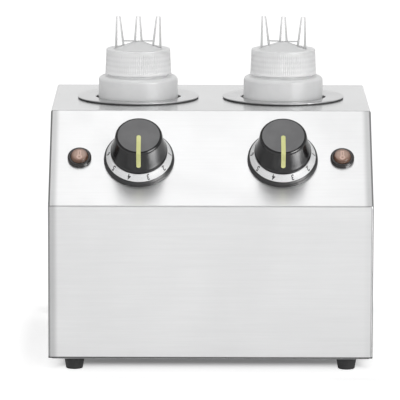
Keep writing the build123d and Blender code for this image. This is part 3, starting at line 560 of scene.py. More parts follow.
def brushed_steel():
    """Stainless sheet brushed along the casing, and along the depth on its sides."""
    material, tree, shader = start(
        "brushed_stainless", Metallic=1.0, Anisotropic=0.75, Specular_Tint=(0.97, 0.97, 0.97)
    )
    coordinates = object_coordinates(tree)
    quarter = {"Vector": coordinates, "Rotation": (0, 0, pi / 2)}
    turned = put(tree, "ShaderNodeMapping", quarter).outputs[0]
    normal = surface_normal(tree)
    faces = parts(tree, normal)
    on_side = maths(tree, "GREATER_THAN", maths(tree, "ABSOLUTE", faces[0]), side_lean)
    lines = use(tree, BRUSH, {"Vector": blend_vectors(tree, on_side, coordinates, turned)})
    marks = use(tree, SMUDGES, {"Vector": coordinates, "Scale": 9.0})["Mask"]
    shade = spread(tree, lines["Shade"], 0.25, 0.75, 0.0, 1.0)
    plain = blend_colours(tree, shade, (0.742, 0.744, 0.747), (0.783, 0.785, 0.788))
    marked = blend_colours(tree, times(tree, marks, 0.25), plain, (0.70, 0.702, 0.706))
    # painted shade along the casing's side edges, darkening the steel towards 0.20 in place of the edge's
    # reflection
    edge_shaded = blend_colours(tree, seam_mask(tree, coordinates, faces), marked, (0.20, 0.201, 0.203))
    height = parts(tree, coordinates)[2]
    # painted shade: a near-black band along the bottom edge of the casing's outer faces, where the hem sits
    # in shadow
    hem_shade = spread(tree, height, base_z + hem_shade_w / 2, base_z + hem_shade_w, hem_shade_depth, 0.0)
    hem_shade = times(tree, hem_shade, maths(tree, "GREATER_THAN", faces[2], under_lean))
    colour = blend_colours(tree, hem_shade, edge_shaded, (0.03, 0.03, 0.03))
    # the level top is ground finer than the front and the panel
    on_top = maths(tree, "GREATER_THAN", faces[2], top_lean)
    rough = varied(tree, lines["Shade"], gain=0.10, base=0.26)
    rough = times(tree, rough, varied(tree, on_top, gain=-0.3, base=1.0))
    rough = varied(tree, marks, gain=0.03, base=rough)
    surface(tree, shader, colour, rough, bump(tree, lines["Height"], strength=0.10, distance=0.0001))
    streak = blend_vectors(tree, on_side, (1, 0, 0), (0, 1, 0))
    both = {0: normal, 1: streak}
    across = put(tree, "ShaderNodeVectorMath", both, operation="CROSS_PRODUCT").outputs[0]
    tree.links.new(across, shader["Tangent"])
    return material


def seam_mask(tree, coordinates, faces):
    """Painted shade along the casing's side edges, on the front and the panel: a thin dark line at the edge
    and a broader fading strip.
    """
    x = parts(tree, coordinates)[0]
    inward = maths(tree, "SUBTRACT", casing_high.x, maths(tree, "ABSOLUTE", x))
    line = spread(tree, inward, edge_shade_line_w, edge_shade_line_w * edge_shade_line_fade, edge_shade_line_depth, 0.0)
    strip = spread(tree, inward, edge_shade_w, edge_shade_w + edge_shade_fade_w, edge_shade_depth, 0.0)
    on_front = maths(tree, "LESS_THAN", faces[1], front_lean)
    # the painted shade strip is weaker along the front's right-hand edge than the rest
    plumb = maths(tree, "LESS_THAN", faces[1], plumb_lean)
    right = maths(tree, "GREATER_THAN", x, 0.0)
    right_shade_cut = times(tree, times(tree, plumb, right), edge_shade_right_cut)
    kept = maths(tree, "SUBTRACT", 1.0, right_shade_cut)
    mask = maths(tree, "MAXIMUM", line, times(tree, strip, kept))
    return times(tree, mask, on_front)


def spun_steel(name, spot, rough):
    """Pressed and polished stainless, with faint lathe rings about a well's axis."""
    material, tree, shader = start(name, Metallic=1.0, Specular_Tint=(0.8, 0.8, 0.8))
    rings = use(tree, RINGS, {"Vector": centred(tree, spot)})
    marks = use(tree, SMUDGES, {"Vector": object_coordinates(tree), "Scale": 30.0})["Mask"]
    bright = blend_colours(tree, rings["Shade"], (0.70, 0.702, 0.705), (0.76, 0.762, 0.765))
    colour = blend_colours(tree, times(tree, marks, 0.3), bright, (0.64, 0.643, 0.65))
    relief = bump(tree, rings["Height"], strength=0.08, distance=0.0001)
    surface(tree, shader, colour, varied(tree, marks, gain=0.06, base=rough), relief)
    return material


def moulding(name, dark, light, rough, grain=2600.0, relief=0.12, wear=0.0, **sockets):
    """A moulded plastic or rubber, with its grain and mottle, and handling marks where it wears."""
    material, tree, shader = start(name, **sockets)
    coordinates = object_coordinates(tree)
    fine = use(tree, GRAIN, {"Vector": coordinates, "Grain": grain})
    if wear:
        marks = use(tree, SMUDGES, {"Vector": coordinates, "Scale": 70.0})["Mask"]
        rough = varied(tree, marks, gain=wear, base=rough)
    colour = clouded(tree, fine["Mottle"], dark, light)
    surface(tree, shader, colour, rough, bump(tree, fine["Height"], strength=relief, distance=0.0002))
    return material


def metal(name, dark, light, rough, scale=400.0):
    """A plated or plain metal fitting, with fine uneven sheen."""
    material, tree, shader = start(name, Metallic=1.0)
    coordinates = object_coordinates(tree)
    fine = use(tree, GRAIN, {"Vector": coordinates, "Grain": scale * 6, "Mottle": scale})
    marks = use(tree, SMUDGES, {"Vector": coordinates, "Scale": scale / 4})["Mask"]
    colour = clouded(tree, fine["Mottle"], dark, light)
    normal = bump(tree, fine["Height"], strength=0.1, distance=0.0001)
    surface(tree, shader, colour, varied(tree, marks, gain=0.12, base=rough), normal)
    return material


def dial_metal(side, place):
    """Satin aluminium of a dial ring, brushed round its axis."""
    material, tree, shader = start("satin_dial_" + side, Metallic=0.15)
    vector = centred(tree, place.translation, place.to_euler())
    rings = use(tree, RINGS, {"Vector": vector, "Rings": 3200.0})
    fine = use(tree, GRAIN, {"Vector": vector, "Grain": 3000.0, "Mottle": 900.0})
    speck = varied(tree, fine["Mottle"], gain=0.5, base=times(tree, rings["Shade"], 0.5))
    speck = spread(tree, speck, 0.35, 0.65, 0.0, 1.0)
    colour = blend_colours(tree, speck, (0.67, 0.673, 0.677), (0.79, 0.793, 0.797))
    normal = bump(tree, rings["Height"], strength=0.1, distance=0.0001)
    surface(tree, shader, colour, varied(tree, fine["Mottle"], gain=0.15, base=0.42), normal)
    return material


def milky(name, dark, light, rough, bands=0.0, glow=None, **sockets):
    """Cloudy polyethylene, faintly banded where a thread shows through its wall.

    A painted glow, an emission standing in for light that comes through the wall, shows only in a narrow
    gap: glow gives how deep that gap lies, from the axis of the well at a spot, and its lowest height.
    """
    material, tree, shader = start(name, Subsurface_Radius=(1, 1, 1), **sockets)
    coordinates = object_coordinates(tree)
    fine = use(tree, GRAIN, {"Vector": coordinates, "Grain": 900.0, "Mottle": 45.0})
    shade = spread(tree, fine["Mottle"], 0.3, 0.7, 0.0, 1.0)
    if bands:
        height = parts(tree, coordinates)[2]
        wave = maths(tree, "SINE", times(tree, height, 2 * pi / thread_pitch))
        shade = varied(tree, wave, gain=bands, base=shade)
    colour = blend_colours(tree, shade, dark, light)
    normal = bump(tree, fine["Height"], strength=0.06, distance=0.0003)
    surface(tree, shader, colour, varied(tree, fine["Height"], gain=0.1, base=rough), normal)
    if glow:
        spot, reach, floor_z = glow
        split = parts(tree, centred(tree, spot))
        near = spread(tree, off_axis(tree, split), reach - gap_glow_in, reach + gap_glow_out, 1.0, 0.0)
        painted_glow_mask = times(tree, near, maths(tree, "GREATER_THAN", split[2], floor_z))
        # painted glow: the gap is given a faint white emission
        shader["Emission Strength"].default_value = gap_glow
        tree.links.new(blend_colours(tree, painted_glow_mask, (0, 0, 0), (1, 1, 1)), shader["Emission Color"])
    return material


def clear_insert(side):
    """Thin clear polyethylene: dense where a wall is seen edge on, and over the dome."""
    material, tree, shader = start("clear_nozzle_" + side)
    vector = centred(tree, well_spots[side], (0, 0, insert_turns[side]))
    fine = use(tree, GRAIN, {"Vector": vector, "Grain": 900.0, "Mottle": 60.0})
    split = parts(tree, vector)
    apex_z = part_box("collar_" + side)[1].z + dome_apex_h
    cone = varied(tree, off_axis(tree, split), gain=-dome_apex_h / dome_r, base=apex_z)
    dome = spread(tree, maths(tree, "SUBTRACT", split[2], cone), *dome_fade, 1.0, 0.0)
    mottled = blend_colours(tree, fine["Mottle"], (0.50, 0.503, 0.506), (0.58, 0.583, 0.586))
    colour = blend_colours(tree, dome, mottled, (0.76, 0.763, 0.766))
    normal = bump(tree, fine["Height"], strength=0.04, distance=0.0002)
    surface(tree, shader, colour, varied(tree, fine["Height"], gain=0.1, base=0.28), normal)
    # the web's level top is seen edge on from the front, and its edge is denser
    level = maths(tree, "GREATER_THAN", parts(tree, surface_normal(tree))[2], web_lean)
    thin = maths(tree, "LESS_THAN", maths(tree, "ABSOLUTE", split[1]), web_half_t)
    upper = maths(tree, "GREATER_THAN", split[2], apex_z + web_edge[0])
    below = maths(tree, "LESS_THAN", split[2], apex_z + web_edge[1])
    edge = times(tree, times(tree, upper, below), thin)
    level = times(tree, maths(tree, "MAXIMUM", level, edge), web_density)
    dense = maths(tree, "MAXIMUM", level, times(tree, dome, dome_density))
    facing = put(tree, "ShaderNodeLayerWeight", {"Blend": 0.5}).outputs["Facing"]
    wall = spread(tree, facing, 0.2, 0.6, 0.02, 0.9)
    tree.links.new(maths(tree, "MAXIMUM", wall, dense), shader["Alpha"])
    return material


def lens_tint(side):
    """Tinted plastic with painted shade: deeper towards the lens's rim, and a warmer dark brown at its foot,
    the lens's lower side.
    """
    material, tree, shader = start("amber_lens_" + side, Coat_Weight=0.3, Coat_Roughness=0.1)
    place = lamp_place(side)
    vector = centred(tree, place.translation, place.to_euler())
    fine = use(tree, GRAIN, {"Vector": vector, "Grain": 2600.0, "Mottle": 500.0})
    split = parts(tree, vector)
    mottled = blend_colours(tree, fine["Mottle"], (0.34, 0.215, 0.165), (0.45, 0.31, 0.25))
    # painted shade at the lens's foot, its lower side
    foot = spread(tree, split[1], -lens_face_r, 0.0, 0.55, 0.0)
    foot_shaded = blend_colours(tree, foot, mottled, (0.36, 0.17, 0.09))
    # painted shade deepening towards the lens's rim
    rim = spread(tree, off_axis(tree, split), lens_face_r * 0.55, lens_face_r, 0.0, 0.75)
    colour = blend_colours(tree, rim, foot_shaded, (0.13, 0.065, 0.045))
    normal = bump(tree, fine["Height"], strength=0.05, distance=0.0002)
    surface(tree, shader, colour, varied(tree, fine["Height"], gain=0.1, base=0.18), normal)
    return material


def sleeving():
    """Woven glass sleeving of the internal leads."""
    material, tree, shader = start("glass_sleeving", Roughness=0.8)
    inputs = {"Vector": object_coordinates(tree), "Scale": 1400.0}
    weave = put(tree, "ShaderNodeTexVoronoi", inputs).outputs["Distance"]
    tree.links.new(blend_colours(tree, weave, (0.80, 0.77, 0.70), (0.58, 0.55, 0.48)), shader["Base Color"])
    tree.links.new(bump(tree, weave, strength=0.3, distance=0.0003), shader["Normal"])
    return material


well_spots = {side: plan_spot("well_" + side) for side in SIDES}
collar_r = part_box("collar_left")[1].x - middle("collar_left").x
flange_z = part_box("well_left")[1].z

STEEL = brushed_steel()
WELL = {side: spun_steel("polished_well_" + side, well_spots[side], 0.16) for side in SIDES}
KNOB_SIDE = moulding("knob_phenolic", (0.005, 0.005, 0.0055), (0.009, 0.009, 0.0095), 0.13, wear=0.06)
# the knob's face: a satin finish, whose grey colour also holds a painted sheen of the overhead light
KNOB_FACE_SHEEN = moulding(
    "knob_face_satin_painted_sheen", (0.118, 0.118, 0.121), (0.14, 0.14, 0.143), 0.38, relief=0.2, wear=0.05
)
BEZEL = moulding("dial_moulding", (0.012, 0.012, 0.013), (0.024, 0.024, 0.026), 0.34, wear=0.06)
YELLOW = moulding("pointer_enamel", (0.60, 0.61, 0.25), (0.68, 0.69, 0.31), 0.4, relief=0.08)
FIGURE = moulding("dial_print", (0.02, 0.02, 0.022), (0.035, 0.035, 0.037), 0.5)
RUBBER = moulding(
    "foot_rubber", (0.02, 0.02, 0.02), (0.035, 0.035, 0.036), 0.6, grain=1500.0, relief=0.3, wear=0.15
)
GASKET = moulding(
    "gasket_rubber", (0.015, 0.015, 0.015), (0.028, 0.028, 0.028), 0.7, grain=2000.0, relief=0.25
)
GLOSS = moulding("lamp_moulding", (0.014, 0.012, 0.012), (0.024, 0.02, 0.02), 0.18, relief=0.04, wear=0.05)
INLET = moulding(
    "inlet_moulding", (0.014, 0.014, 0.015), (0.026, 0.026, 0.028), 0.35, grain=1800.0, relief=0.2
)
CERAMIC = moulding("terminal_ceramic", (0.78, 0.76, 0.72), (0.86, 0.85, 0.82), 0.35, grain=1200.0)
LENS = {side: lens_tint(side) for side in SIDES}
# painted shade: the lens's side gets a deeper brown than its face, like the face's painted rim shade
LENS_SIDE_SHADED = moulding("amber_lens_side_painted_shade", (0.10, 0.048, 0.03), (0.16, 0.085, 0.055), 0.16, relief=0.04)
LENS_FIGURE = moulding("lens_figure", (0.52, 0.35, 0.29), (0.60, 0.42, 0.35), 0.3, relief=0.04)
FASTENER = metal("zinc_fastener", (0.62, 0.63, 0.65), (0.80, 0.81, 0.83), 0.26)
SHEARED_EDGE_SHADE = metal("sheared_edge_painted_shade", (0.34, 0.342, 0.346), (0.42, 0.422, 0.426), 0.5, scale=300.0)
DULL = metal("dull_steel", (0.26, 0.262, 0.266), (0.34, 0.342, 0.346), 0.5, scale=120.0)
BRASS = metal("terminal_brass", (0.70, 0.50, 0.22), (0.84, 0.64, 0.32), 0.28)
BAND = metal("galvanised_band", (0.50, 0.52, 0.54), (0.72, 0.74, 0.76), 0.42, scale=120.0)
COPPER = metal("capillary_copper", (0.72, 0.36, 0.22), (0.86, 0.48, 0.32), 0.3)
GLASS = moulding(
    "neon_glass", (0.85, 0.80, 0.75), (0.95, 0.90, 0.86), 0.08, relief=0.02,
    Transmission_Weight=0.8, IOR=1.47,
)
BOTTLE = {
    side: milky(
        "milky_bottle_" + side, (0.74, 0.743, 0.746), (0.79, 0.793, 0.796), 0.3,
        glow=(well_spots[side], collar_r, flange_z), Subsurface_Weight=0.35, Subsurface_Scale=0.005,
    )
    for side in SIDES
}
COLLAR = milky(
    "milky_collar", (0.76, 0.762, 0.765), (0.83, 0.832, 0.835), 0.34, bands=0.45,
    Subsurface_Weight=0.3, Subsurface_Scale=0.004,
)
SLEEVE = sleeving()


def dress(finish, *names):
    """Gives CAD nodes a finish."""
    for name in names:
        for slot in nodes[name].material_slots:
            slot.material = finish


dress(STEEL, "casing_shell", "rear_panel")
dress(DULL, "base_plate")
dress(FASTENER, "rear_panel_screws", "base_plate_screws", "foot_screws", "foot_nuts", "well_nuts")
dress(FASTENER, "inlet_screws", "thermostat_screws", "terminal_screws")
dress(BRASS, "earth_stud", "inlet_pins")
dress(INLET, "mains_inlet", "lamp_nuts")
dress(CERAMIC, "terminal_block")
dress(SLEEVE, "supply_leads", "circuit_leads")
for side in SIDES:
    dress(GASKET, "well_gasket_" + side)
    dress(BAND, "heater_band_" + side)
    dress(FASTENER, "heater_clamp_screws_" + side, "bulb_clip_" + side, "thermostat_shaft_" + side)
    dress(COPPER, "sensor_tube_" + side)
    dress(INLET, "thermal_cutout_" + side)
    dress(CERAMIC, "thermostat_" + side)
    dress(GLASS, "lamp_bulb_" + side)
    dress(BOTTLE[side], "bottle_" + side)
    dress(clear_insert(side), "nozzle_" + side)


# ---- wells
def make_well(side):
    """A drawn cup with its rolled lip, weld studs, and a flange whose sheared edge is matt and darkened:
    partly its own finish, partly painted shade.
    """
    low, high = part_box("well_" + side)
    floor_z = low.z + well_wall
    flange_r = (high.x - low.x) / 2
    cup = [
        (0, low.z),
        (well_r + well_wall, low.z, well_floor_r + well_wall),
        (well_r + well_wall, high.z - flange_t),
        (flange_r, high.z - flange_t, flange_edge_r),
        (flange_r, high.z, flange_edge_r),
        (well_r, high.z, well_lip_r),
        (well_r, floor_z, well_floor_r),
        (0, floor_z),
    ]
    bm = spun(cup, well_steps)
    # the flange's sheared edge takes a darker matt steel: partly its own finish, partly painted shade
    for face in bm.faces:
        at_rim = face.calc_center_median().xy.length > flange_r - flange_edge_r
        if at_rim and face.normal.z < edge_lean:
            face.material_index = 1
    for index in range(stud_count):
        angle = radians(stud_angle + index * 360 / stud_count)
        spot = (stud_circle_r * cos(angle), stud_circle_r * sin(angle), high.z - flange_t - stud_l / 2)
        stud = bmesh.new()
        bmesh.ops.create_cone(
            stud, cap_ends=True, segments=stud_steps,
            radius1=stud_r - stud_taper, radius2=stud_r, depth=stud_l,
        )
        join(bm, moved(stud, Matrix.Translation(spot)))
    moved(bm, Matrix.Translation(well_spots[side]))
    show("well_spun_" + side, bm, [WELL[side], SHEARED_EDGE_SHADE], "casing", ["well_" + side])


# ---- feet
def make_foot(name):
    """A tapered rubber foot with a screw pocket in its underside."""
    low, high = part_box(name)
    shape = [
        (foot_screw_r, foot_bore_depth),
        (foot_bore_r, foot_bore_depth),
        (foot_bore_r, low.z, foot_edge_r / 2),
        (foot_bottom_r, low.z, foot_edge_r),
        (foot_top_r, high.z, foot_edge_r / 3),
        (foot_screw_r, high.z),
    ]
    bm = moved(spun(shape, foot_steps, closed=True), Matrix.Translation(plan_spot(name)))
    show(name.replace("foot_", "rubber_foot_"), bm, [RUBBER], "casing", [name])


# ---- controls
def knob_side(share):
    """A point of the knob's hollowed side, from 0 at its base to 1 at its face."""
    radius = knob_base_r + (knob_face_r - knob_base_r) * share - 4 * knob_waist * share * (1 - share)
    return radius, knob_low_h + (knob_face_h - knob_low_h) * share


def make_knob(side):
    """A waisted cap with a satin face, lighter grey partly by a painted sheen, a rounded rim and a small lip
    round its base.
    """
    place = knob_place(side)
    shape = [
        (0, knob_face_h),
        (knob_face_r, knob_face_h, knob_rim_round),
        *(knob_side(1 - index / knob_side_steps) for index in range(1, knob_side_steps)),
        (knob_base_r - knob_lip, knob_low_h + knob_lip_h),
        (knob_base_r, knob_low_h + knob_lip_h / 2, knob_lip / 2),
        (knob_base_r, knob_low_h),
        (knob_base_r - knob_wall, knob_low_h),
        (knob_face_r - knob_shoulder_in, knob_face_h - knob_crown),
        (knob_hub_r, knob_face_h - knob_crown),
        (knob_hub_r, knob_hub_low_h),
        (knob_bore_r, knob_hub_low_h),
        (knob_bore_r, knob_bore_top_h),
        (0, knob_bore_top_h),
    ]
    bm = spun(shape, dial_steps)
    satin_r = knob_face_r - knob_rim_round * knob_rim_share
    for face in bm.faces:
        spot = face.calc_center_median()
        if spot.z > knob_face_h - knob_face_reach and spot.xy.length < satin_r:
            face.material_index = 1
    show(
        "knob_cap_" + side, moved(bm, place), [KNOB_SIDE, KNOB_FACE_SHEEN],
        "knob_" + side + "_turning", ["knob_" + side],
    )


def pointer_path():
    """Points from the middle of the knob's face, over its rim and down its side."""
    bend_r = knob_face_r - knob_rim_round
    bend_h = knob_face_h - knob_rim_round
    path = [Vector((0, knob_face_h)), Vector((bend_r, knob_face_h))]
    for index in range(1, pointer_bend_steps + 1):
        turn = index / pointer_bend_steps * pointer_bend
        path.append(Vector((bend_r + knob_rim_round * sin(turn), bend_h + knob_rim_round * cos(turn))))
    top_share = (path[-1].y - knob_low_h) / (knob_face_h - knob_low_h)
    end_share = (pointer_end_h - knob_low_h) / (knob_face_h - knob_low_h)
    for index in range(1, pointer_fall_steps + 1):
        share = top_share + (end_share - top_share) * index / pointer_fall_steps
        path.append(Vector(knob_side(share)))
    return path


def make_pointer(side):
    """An enamelled strip with round ends, from the middle of the face down the knob's side."""
    place = knob_place(side)
    path = pointer_path()
    lengths = [0.0]
    for first, second in zip(path, path[1:]):
        lengths.append(lengths[-1] + (second - first).length)
    total = lengths[-1]

    def spot_at(run):
        """The point and outward direction at a run along the path."""
        run = min(max(run, 0.0), total)
        index = max(i for i in range(len(path) - 1) if lengths[i] <= run)
        along = (path[index + 1] - path[index]).normalized()
        return path[index] + along * (run - lengths[index]), Vector((-along.y, along.x))

    bm = bmesh.new()
    bmesh.ops.create_grid(bm, x_segments=pointer_grid[0], y_segments=pointer_grid[1], size=0.5)
    half_w = pointer_w / 2
    for vert in bm.verts:
        run = (vert.co.y + 0.5) * total
        end_gap = min(run, total - run)
        width = half_w
        if end_gap < half_w:
            width = half_w * max(1 - ((half_w - end_gap) / half_w) ** 2, 0.0) ** 0.5
        spot, out = spot_at(run)
        level = spot + out * pointer_proud
        vert.co = (vert.co.x * 2 * width, -level.x, level.y)
    weld(bm)
    bmesh.ops.solidify(bm, geom=bm.faces[:], thickness=pointer_proud + pointer_sink)
    show(
        "pointer_strip_" + side, moved(bm, place), [YELLOW],
        "knob_" + side + "_turning", ["knob_pointer_" + side],
    )


def make_dial(side):
    """The fixed black moulding and its satin ring."""
    place = knob_place(side)
    slant = Vector((dial_rim_r - ring_in_r, ring_top_h - dial_rim_h))
    seat = Vector((slant.y, slant.x)).normalized() * ring_t
    outer = (dial_rim_r - seat.x, dial_rim_h - seat.y)
    inner = (ring_in_r - seat.x, ring_top_h - seat.y)
    bezel = [
        (dial_hole_r, 0),
        (dial_r, 0, dial_foot_round),
        (dial_lip_r, dial_lip_h, dial_lip_round),
        (dial_rim_r, dial_rim_h - ring_t / 2, dial_edge_round),
        outer,
        inner,
        (inner[0] - dial_wall, inner[1], dial_foot_round),
        (inner[0] - dial_wall, dial_floor_t),
        (dial_hole_r, dial_floor_t),
    ]
    show(
        "dial_moulding_" + side, moved(spun(bezel, dial_steps, closed=True), place), [BEZEL],
        "casing", ["dial_bezel_" + side],
    )
    ring = [
        outer,
        (dial_rim_r, dial_rim_h, dial_edge_round),
        (ring_in_r, ring_top_h, dial_edge_round),
        inner,
    ]
    show(
        "dial_face_" + side, moved(spun(ring, dial_steps, closed=True), place), [dial_metal(side, place)],
        "casing", ["dial_ring_" + side],
    )
    make_figures(side, place, slant)


def number_mesh(number):
    """A number in flat relief, squeezed a little, about its own middle."""
    curve = bpy.data.curves.new("figure", "FONT")
    curve.body = str(number)
    curve.size = digit_h / digit_cap
    curve.align_x = "CENTER"
    curve.align_y = "CENTER"
    curve.extrude = digit_stroke
    curve.offset = digit_weight
    text = placed("figure", curve)
    bpy.context.view_layer.update()
    mesh = bpy.data.meshes.new_from_object(text.evaluated_get(bpy.context.evaluated_depsgraph_get()))
    bpy.data.objects.remove(text)
    bpy.data.curves.remove(curve)
    figure = bmesh.new()
    figure.from_mesh(mesh)
    bpy.data.meshes.remove(mesh)
    lows = [min(v.co[axis] for v in figure.verts) for axis in range(2)]
    highs = [max(v.co[axis] for v in figure.verts) for axis in range(2)]
    centre = Vector(((lows[0] + highs[0]) / 2, (lows[1] + highs[1]) / 2, 0))
    moved(figure, Matrix.Translation(-centre))
    return moved(figure, Matrix.Diagonal((digit_squeeze, 1, 1, 1)))


def make_figures(side, place, slant):
    """The numbers printed round the ring, their tops outward."""
    bm = bmesh.new()
    mid_r = (dial_rim_r + ring_in_r) / 2
    mid_h = (dial_rim_h + ring_top_h) / 2
    lean = atan2(slant.y, slant.x)
    for index in range(digit_count):
        figure = number_mesh(index + 1)
        # stand on the slanting ring at the top of the dial, then turn clockwise to the place
        moved(figure, Matrix.Rotation(-lean, 4, "X"))
        moved(figure, Matrix.Translation((0, mid_r, mid_h)))
        moved(figure, Matrix.Rotation(-radians(digit_first + index * digit_step), 4, "Z"))
        join(bm, figure)
    show("dial_figures_" + side, moved(bm, place), [FIGURE], "casing", sharp=20.0)


def make_lamp(side):
    """A glossy bezel with its barrel and tabs, a domed lens and a plain thermometer figure."""
    place = lamp_place(side)
    seat_h = lamp_bezel_h - lens_seat
    body = [
        (0, -lamp_barrel_l),
        (lamp_barrel_r, -lamp_barrel_l, lamp_barrel_round),
        (lamp_barrel_r, 0),
        (lamp_bezel_r, 0, lamp_foot_round),
        (lamp_bezel_r, lamp_bezel_h, lamp_bezel_round),
        (lens_r + lens_play, lamp_bezel_h, lamp_lip_round),
        (lens_r + lens_play, seat_h),
        (lamp_bore_r, seat_h),
        (lamp_bore_r, lamp_floor_t - lamp_barrel_l),
        (0, lamp_floor_t - lamp_barrel_l),
    ]
    bm = spun(body, lamp_steps)
    for shift in (-lamp_barrel_r / 2, lamp_barrel_r / 2):
        tab = bmesh.new()
        bmesh.ops.create_cube(tab, size=1.0)
        moved(tab, Matrix.Diagonal((*lamp_tab, 1)))
        moved(tab, Matrix.Translation((shift, 0, -lamp_barrel_l - lamp_tab[2] / 2)))
        join(bm, tab)
    show("lamp_bezel_" + side, moved(bm, place), [GLOSS], "casing", ["lamp_body_" + side])
    button = [
        (0, seat_h),
        (lens_r, seat_h),
        (lens_r, lamp_bezel_h, lens_round),
        (lens_face_r, lamp_bezel_h + lens_rise, lens_round),
        (0, lamp_bezel_h + lens_rise + lens_crown),
    ]
    lens = spun(button, lamp_steps)
    for face in lens.faces:
        spot = face.calc_center_median()
        if spot.z < lamp_bezel_h + lens_rise - lens_round / 3:
            face.material_index = 1
    show(
        "lamp_dome_" + side, moved(lens, place), [LENS[side], LENS_SIDE_SHADED],
        "casing", ["lamp_lens_" + side],
    )
    make_lens_figure(side, place)


def make_lens_figure(side, place):
    """A plain thermometer on the lens: an outlined stem over a ringed bulb."""
    bm = bmesh.new()
    bulb_y, bulb_r, bulb_hole_r = figure_bulb
    stem_w, stem_low, stem_high = figure_stem
    slit_w, slit_low, slit_high = figure_slit
    for width, low, high, shift in (
        ((stem_w - slit_w) / 2, stem_low, stem_high, -(stem_w + slit_w) / 4),
        ((stem_w - slit_w) / 2, stem_low, stem_high, (stem_w + slit_w) / 4),
        (slit_w, slit_high, stem_high, 0.0),
        (slit_w, stem_low, slit_low, 0.0),
    ):
        bar = bmesh.new()
        bmesh.ops.create_grid(bar, x_segments=figure_grid[0], y_segments=figure_grid[1], size=0.5)
        moved(bar, Matrix.Diagonal((width, high - low, 1, 1)))
        join(bm, moved(bar, Matrix.Translation((shift, (low + high) / 2, 0))))
    ring = bmesh.new()
    first = ring.verts.new((bulb_hole_r, 0, 0))
    last = ring.verts.new((bulb_r, 0, 0))
    edge = ring.edges.new((first, last))
    bmesh.ops.spin(
        ring, geom=[first, last, edge], axis=(0, 0, 1), cent=(0, 0, 0),
        steps=figure_steps, angle=2 * pi, use_merge=True,
    )
    join(bm, moved(ring, Matrix.Translation((0, bulb_y, 0))))
    bmesh.ops.remove_doubles(bm, verts=bm.verts, dist=weld_gap)
    for vert in bm.verts:
        fall = lens_crown * vert.co.xy.length / lens_face_r
        vert.co.z = lamp_bezel_h + lens_rise + lens_crown - fall + figure_proud
    bmesh.ops.recalc_face_normals(bm, faces=bm.faces)
    bmesh.ops.solidify(bm, geom=bm.faces[:], thickness=figure_t)
    show("lamp_figure_" + side, moved(bm, place), [LENS_FIGURE], "casing")


# ---- collars
def make_collar(side):
    """The screwed collar: a ribbed wall, a plain band above and below, and its inner thread."""
    low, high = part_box("collar_" + side)
    low_r = (high.x - low.x) / 2
    top_r = low_r - collar_taper
    outside = [
        (collar_bore_r, low.z),
        (low_r, low.z, collar_low_round),
        (low_r, low.z + 2 * collar_low_round),
    ]
    wall_low = low.z + collar_rib_low
    wall_high = high.z - collar_band
    fade_low, fade_high = collar_rib_fade
    for index in range(collar_rib_levels + 1):
        z = wall_low + (wall_high - wall_low) * index / collar_rib_levels
        rise = (z - low.z) / (high.z - low.z)
        outside.append((low_r - collar_rib_inset + (top_r - low_r + collar_rib_inset) * rise, z))
    inside = [
        (top_r, high.z, collar_top_round),
        (collar_hole_r, high.z, collar_hole_round),
        (collar_hole_r, high.z - collar_top_t),
        (collar_bore_r, high.z - collar_top_t),
    ]
    bm = spun(outside + inside, collar_ribs * collar_rib_steps, closed=True)
    for vert in bm.verts:
        radius = vert.co.xy.length
        if radius > collar_bore_r + collar_rib_reach and wall_low < vert.co.z < wall_high + collar_rib_slack:
            phase = atan2(vert.co.y, vert.co.x) * collar_ribs
            fade = min((wall_high - vert.co.z) / fade_high, (vert.co.z - wall_low) / fade_low, 1.0)
            push = collar_rib_depth * (0.5 - 0.5 * cos(phase)) * max(fade, 0.0)
            vert.co.xy *= 1 - push / radius
    join(bm, thread_ridge(low.z + collar_thread_up))
    moved(bm, Matrix.Translation(well_spots[side]))
    show(
        "collar_ribbed_" + side, bm, [COLLAR],
        "collar_" + side + "_turning", ["collar_" + side], sharp=50.0,
    )


def thread_ridge(start_z):
    """A helical ridge from just inside the collar's wall to its crest, with closed ends."""
    corners = [
        (collar_bore_r + thread_sink, -thread_root_w / 2),
        (thread_crest_r, -thread_crest_w / 2),
        (thread_crest_r, thread_crest_w / 2),
        (collar_bore_r + thread_sink, thread_root_w / 2),
    ]
    bm = bmesh.new()
    face = bm.faces.new([bm.verts.new((radius, 0, start_z + height)) for radius, height in corners])
    bmesh.ops.spin(
        bm, geom=[face], axis=(0, 0, 1), cent=(0, 0, 0), steps=thread_steps, angle=2 * pi * thread_turns,
        dvec=(0, 0, thread_pitch * thread_turns / thread_steps),
    )
    bmesh.ops.recalc_face_normals(bm, faces=bm.faces)
    return bm


for side in SIDES:
    make_well(side)
    make_knob(side)
    make_pointer(side)
    make_dial(side)
    make_lamp(side)
    make_collar(side)
    for end in ("front", "rear"):
        make_foot("foot_" + end + "_" + side)


